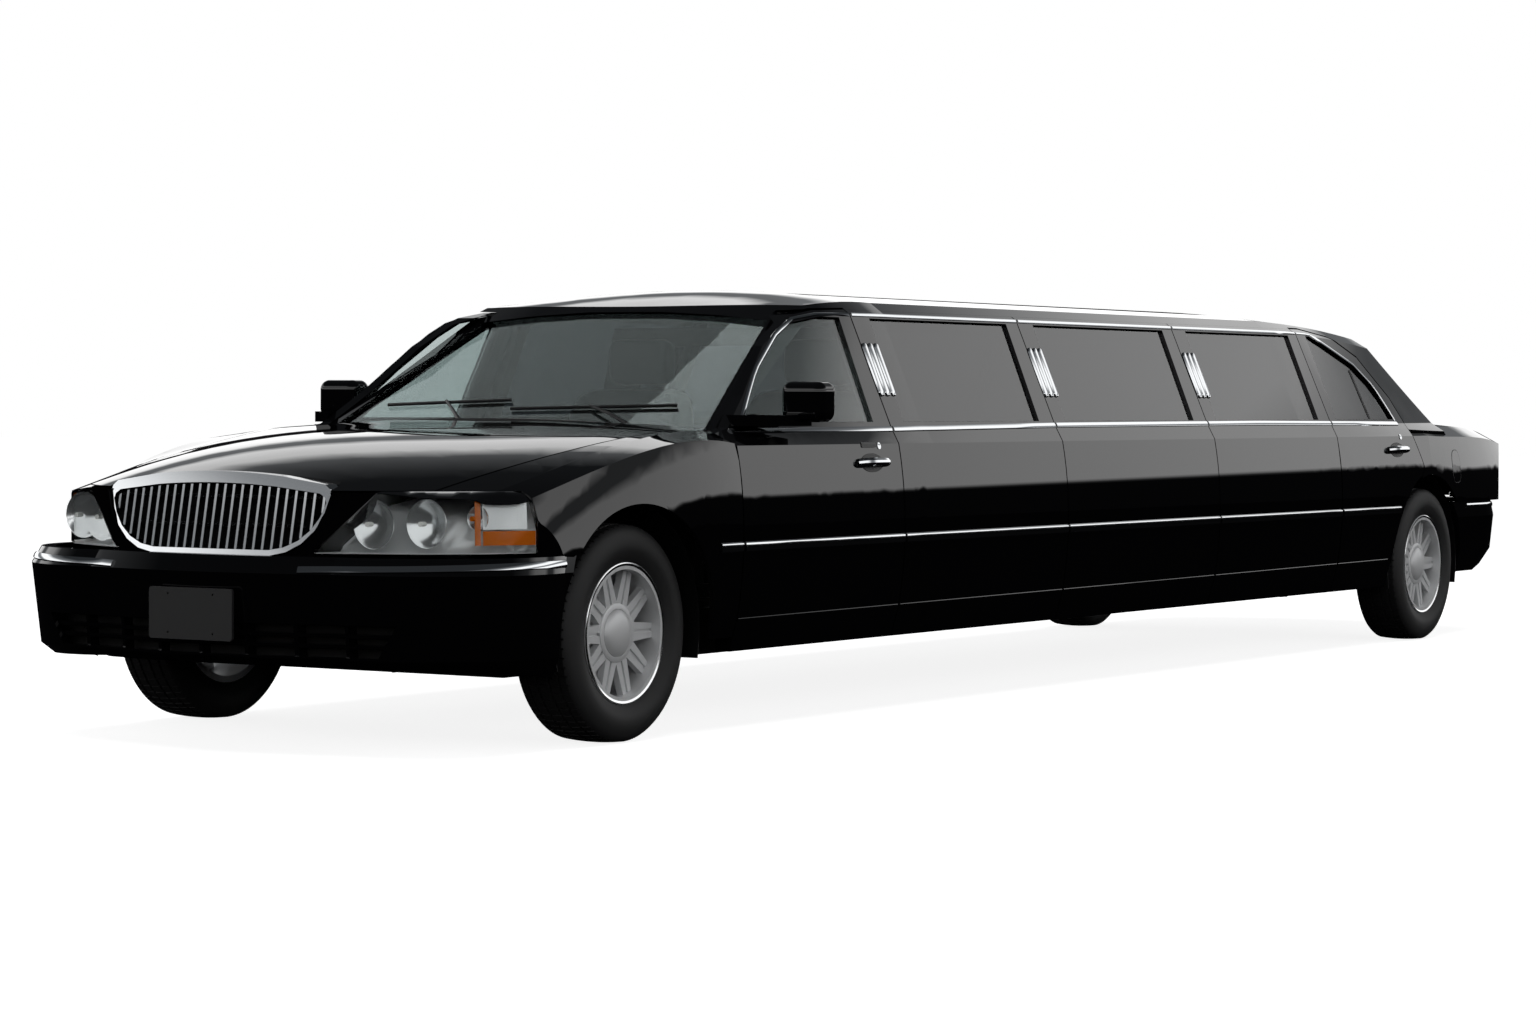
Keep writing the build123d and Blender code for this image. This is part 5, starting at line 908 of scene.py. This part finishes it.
flutes = {"wave_type": "BANDS", "bands_direction": "Y", "Scale": 2 * math.pi / flute_pitch / wave_factor}
lamp_red = relief_material("red fluted acrylic", "#8c0f0c", ("ShaderNodeTexWave", "Fac", flutes), 0.35, 0.001,
                           Roughness=0.08, IOR=1.49)
dress(lamp_red, "tail_lamps")

# Cabin fittings: moulded plastic on the floor and ahead of the driver, with a fine grain that
# dulls its shine.
grain_size = 0.0012
# a noise's finer layers are a quarter of its own size and less
noise_share = 4
grain = {"Scale": 1 / grain_size / noise_share, "Detail": 2.0}
plastic = relief_material("grained black plastic", "#1b1b1c", ("ShaderNodeTexNoise", "Fac", grain),
                          0.2, 0.0004, Roughness=0.5)
dress(plastic, "cowl", "plate_holder", "dashboard", "seat_bases", "partition", "bar_cabinet")

# Seats: foam cushions in black hide, crowned between piped edges and sewn in channels, each
# resting on its base and backed by its frame. The hide's creases soften its shine.
hide_grain = 0.004
creases = {"Scale": 1 / hide_grain}
hide = relief_material("black upholstery hide", "#202021", ("ShaderNodeTexVoronoi", "Distance", creases),
                       0.15, 0.0004, Roughness=0.42)
cushion_cells, cushion_power, cushion_fill = 22, 7.0, 0.6
crown_share = 0.10
channel_depth, channel_half = 0.012, 0.012
# how fast a channel reaches its full depth from the cushion's middle plane outward
channel_rise = 1.2


def cushion(name, low, high, lean=0.0, channels=4, along=1):
    """A crowned cushion in a box of the car's space; lean moves its top rearward, channels run across."""
    work = bmesh.new()
    bmesh.ops.create_cube(work, size=2.0)
    bmesh.ops.subdivide_edges(work, edges=work.edges, cuts=cushion_cells, use_grid_fill=True)
    middle, half = (low + high) / 2, (high - low) / 2
    thin = min(range(3), key=lambda n: half[n])
    spacing = 2 * half[along] / channels
    for vertex in work.verts:
        ball = vertex.co * sum(abs(c) ** cushion_power for c in vertex.co) ** (-1 / cushion_power)
        pinch = [1 - crown_share * ball[(n + 1) % 3] ** 2 * ball[(n + 2) % 3] ** 2 for n in range(3)]
        place = Vector((half[n] * ball[n] * pinch[n] for n in range(3)))
        offset = (place[along] + half[along]) % spacing
        near = min(offset, spacing - offset)
        if near < channel_half and half[along] - abs(place[along]) > spacing / 2:
            groove = channel_depth * (1 - near / channel_half) * min(1.0, abs(ball[thin]) * channel_rise)
            place[thin] -= math.copysign(groove, place[thin])
        place += middle
        place.x += lean * (place.z - low.z) / (high.z - low.z)
        vertex.co = place
    mesh = bpy.data.meshes.new(name)
    work.to_mesh(mesh)
    work.free()
    piece = finish_piece(name, mesh, hide, body_of["seats"])
    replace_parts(piece, "seats")


def loose_boxes(mesh):
    """The boxes of a mesh's separate solids, from the front rearward."""
    work = bmesh.new()
    work.from_mesh(mesh)
    bmesh.ops.remove_doubles(work, verts=work.verts, dist=merge_distance)
    pending = set(work.verts)
    boxes = []
    while pending:
        group, edge = set(), [pending.pop()]
        while edge:
            vertex = edge.pop()
            group.add(vertex)
            others = {link.other_vert(vertex) for link in vertex.link_edges} & pending
            pending -= others
            edge += others
        corners = list(zip(*[vertex.co for vertex in group]))
        boxes.append((Vector(map(min, corners)), Vector(map(max, corners))))
    work.free()
    return sorted(boxes, key=lambda box: (box[0].x, box[0].y))


# a front seat is at least so high, and at most so long and so wide
front_least_z, front_most_x, front_most_y = 0.75, 1.2, 0.8
squab_height, squab_length = 0.145, 0.41
back_x, back_lift, back_thick, seat_lean = 0.34, 0.06, 0.15, 0.19
rest_height, rest_half, rest_far, rest_near, rest_lift, rest_gap = 0.185, 0.13, 0.112, 0.012, 0.012, 0.005
# the lounge bench along the wall, then the rear bench across the cabin
bench_back, bench_squab, bench_seam = 0.13, 0.15, 0.003
lounge_pitch, rear_pitch = 0.62, 0.5
rear_squab_length, rear_back_x, rear_back_lift, rear_lean = 0.43, 0.40, 0.04, 0.08
front_seats = 0
for low, high in loose_boxes(frame["nodes"]["seats"].data):
    size = high - low
    if size.z > front_least_z and size.x < front_most_x and size.y < front_most_y:
        front_seats += 1
        label = "front_seat_%d_" % front_seats
        middle_y = (low.y + high.y) / 2
        cushion(label + "squab", low, Vector((low.x + squab_length, high.y, low.z + squab_height)), along=0)
        rest_z = high.z - rest_height
        cushion(label + "back", Vector((low.x + back_x, low.y, low.z + back_lift)),
                Vector((low.x + back_x + back_thick, high.y, rest_z - rest_gap)), seat_lean, along=2)
        cushion(label + "rest", Vector((high.x - rest_far, middle_y - rest_half, rest_z + rest_lift)),
                Vector((high.x - rest_near, middle_y + rest_half, high.z)), channels=1)
    elif size.x > size.y:
        against_left = low.y + high.y < 0
        back_y = (low.y, low.y + bench_back) if against_left else (high.y - bench_back, high.y)
        squab_y = (low.y + bench_back, high.y) if against_left else (low.y, high.y - bench_back)
        count = max(1, round(size.x / lounge_pitch))
        for number in range(count):
            start = low.x + size.x * number / count + bench_seam
            end = low.x + size.x * (number + 1) / count - bench_seam
            cushion("lounge_squab_%d" % (number + 1), Vector((start, squab_y[0], low.z)),
                    Vector((end, squab_y[1], low.z + bench_squab)), along=0)
            cushion("lounge_back_%d" % (number + 1), Vector((start, back_y[0], low.z)),
                    Vector((end, back_y[1], high.z)), along=0)
    else:
        count = max(1, round(size.y / rear_pitch))
        for number in range(count):
            start = low.y + size.y * number / count + bench_seam
            end = low.y + size.y * (number + 1) / count - bench_seam
            cushion("rear_squab_%d" % (number + 1), Vector((low.x, start, low.z)),
                    Vector((low.x + rear_squab_length, end, low.z + bench_squab)))
            back_low_x = low.x + rear_back_x
            cushion("rear_back_%d" % (number + 1), Vector((back_low_x, start, low.z + rear_back_lift)),
                    Vector((back_low_x + bench_back, end, high.z)), rear_lean)

# Underside: pressed steel frame and floor in satin black, cast iron axles with their rough skin,
# and an aluminised exhaust, all bolted or hung from the frame.
satin = solid_material("satin black chassis paint", "#161616", Roughness=0.5)
cast_grain = 0.003
grain = {"Scale": 1 / cast_grain / noise_share, "Detail": 3.0}
cast = relief_material("rough cast iron", "#3a3836", ("ShaderNodeTexNoise", "Fac", grain), 0.4, 0.001,
                       Metallic=0.6, Roughness=0.7)
zinc = solid_material("aluminised steel pipe", "#8a8a88", Metallic=1.0, Roughness=0.45)
dress(satin, "frame", "floor", "inner_body", "fuel_tank", "front_suspension")
dress(cast, "engine_and_shaft", "rear_axle", "knuckle_left", "knuckle_right")
dress(zinc, "exhaust")
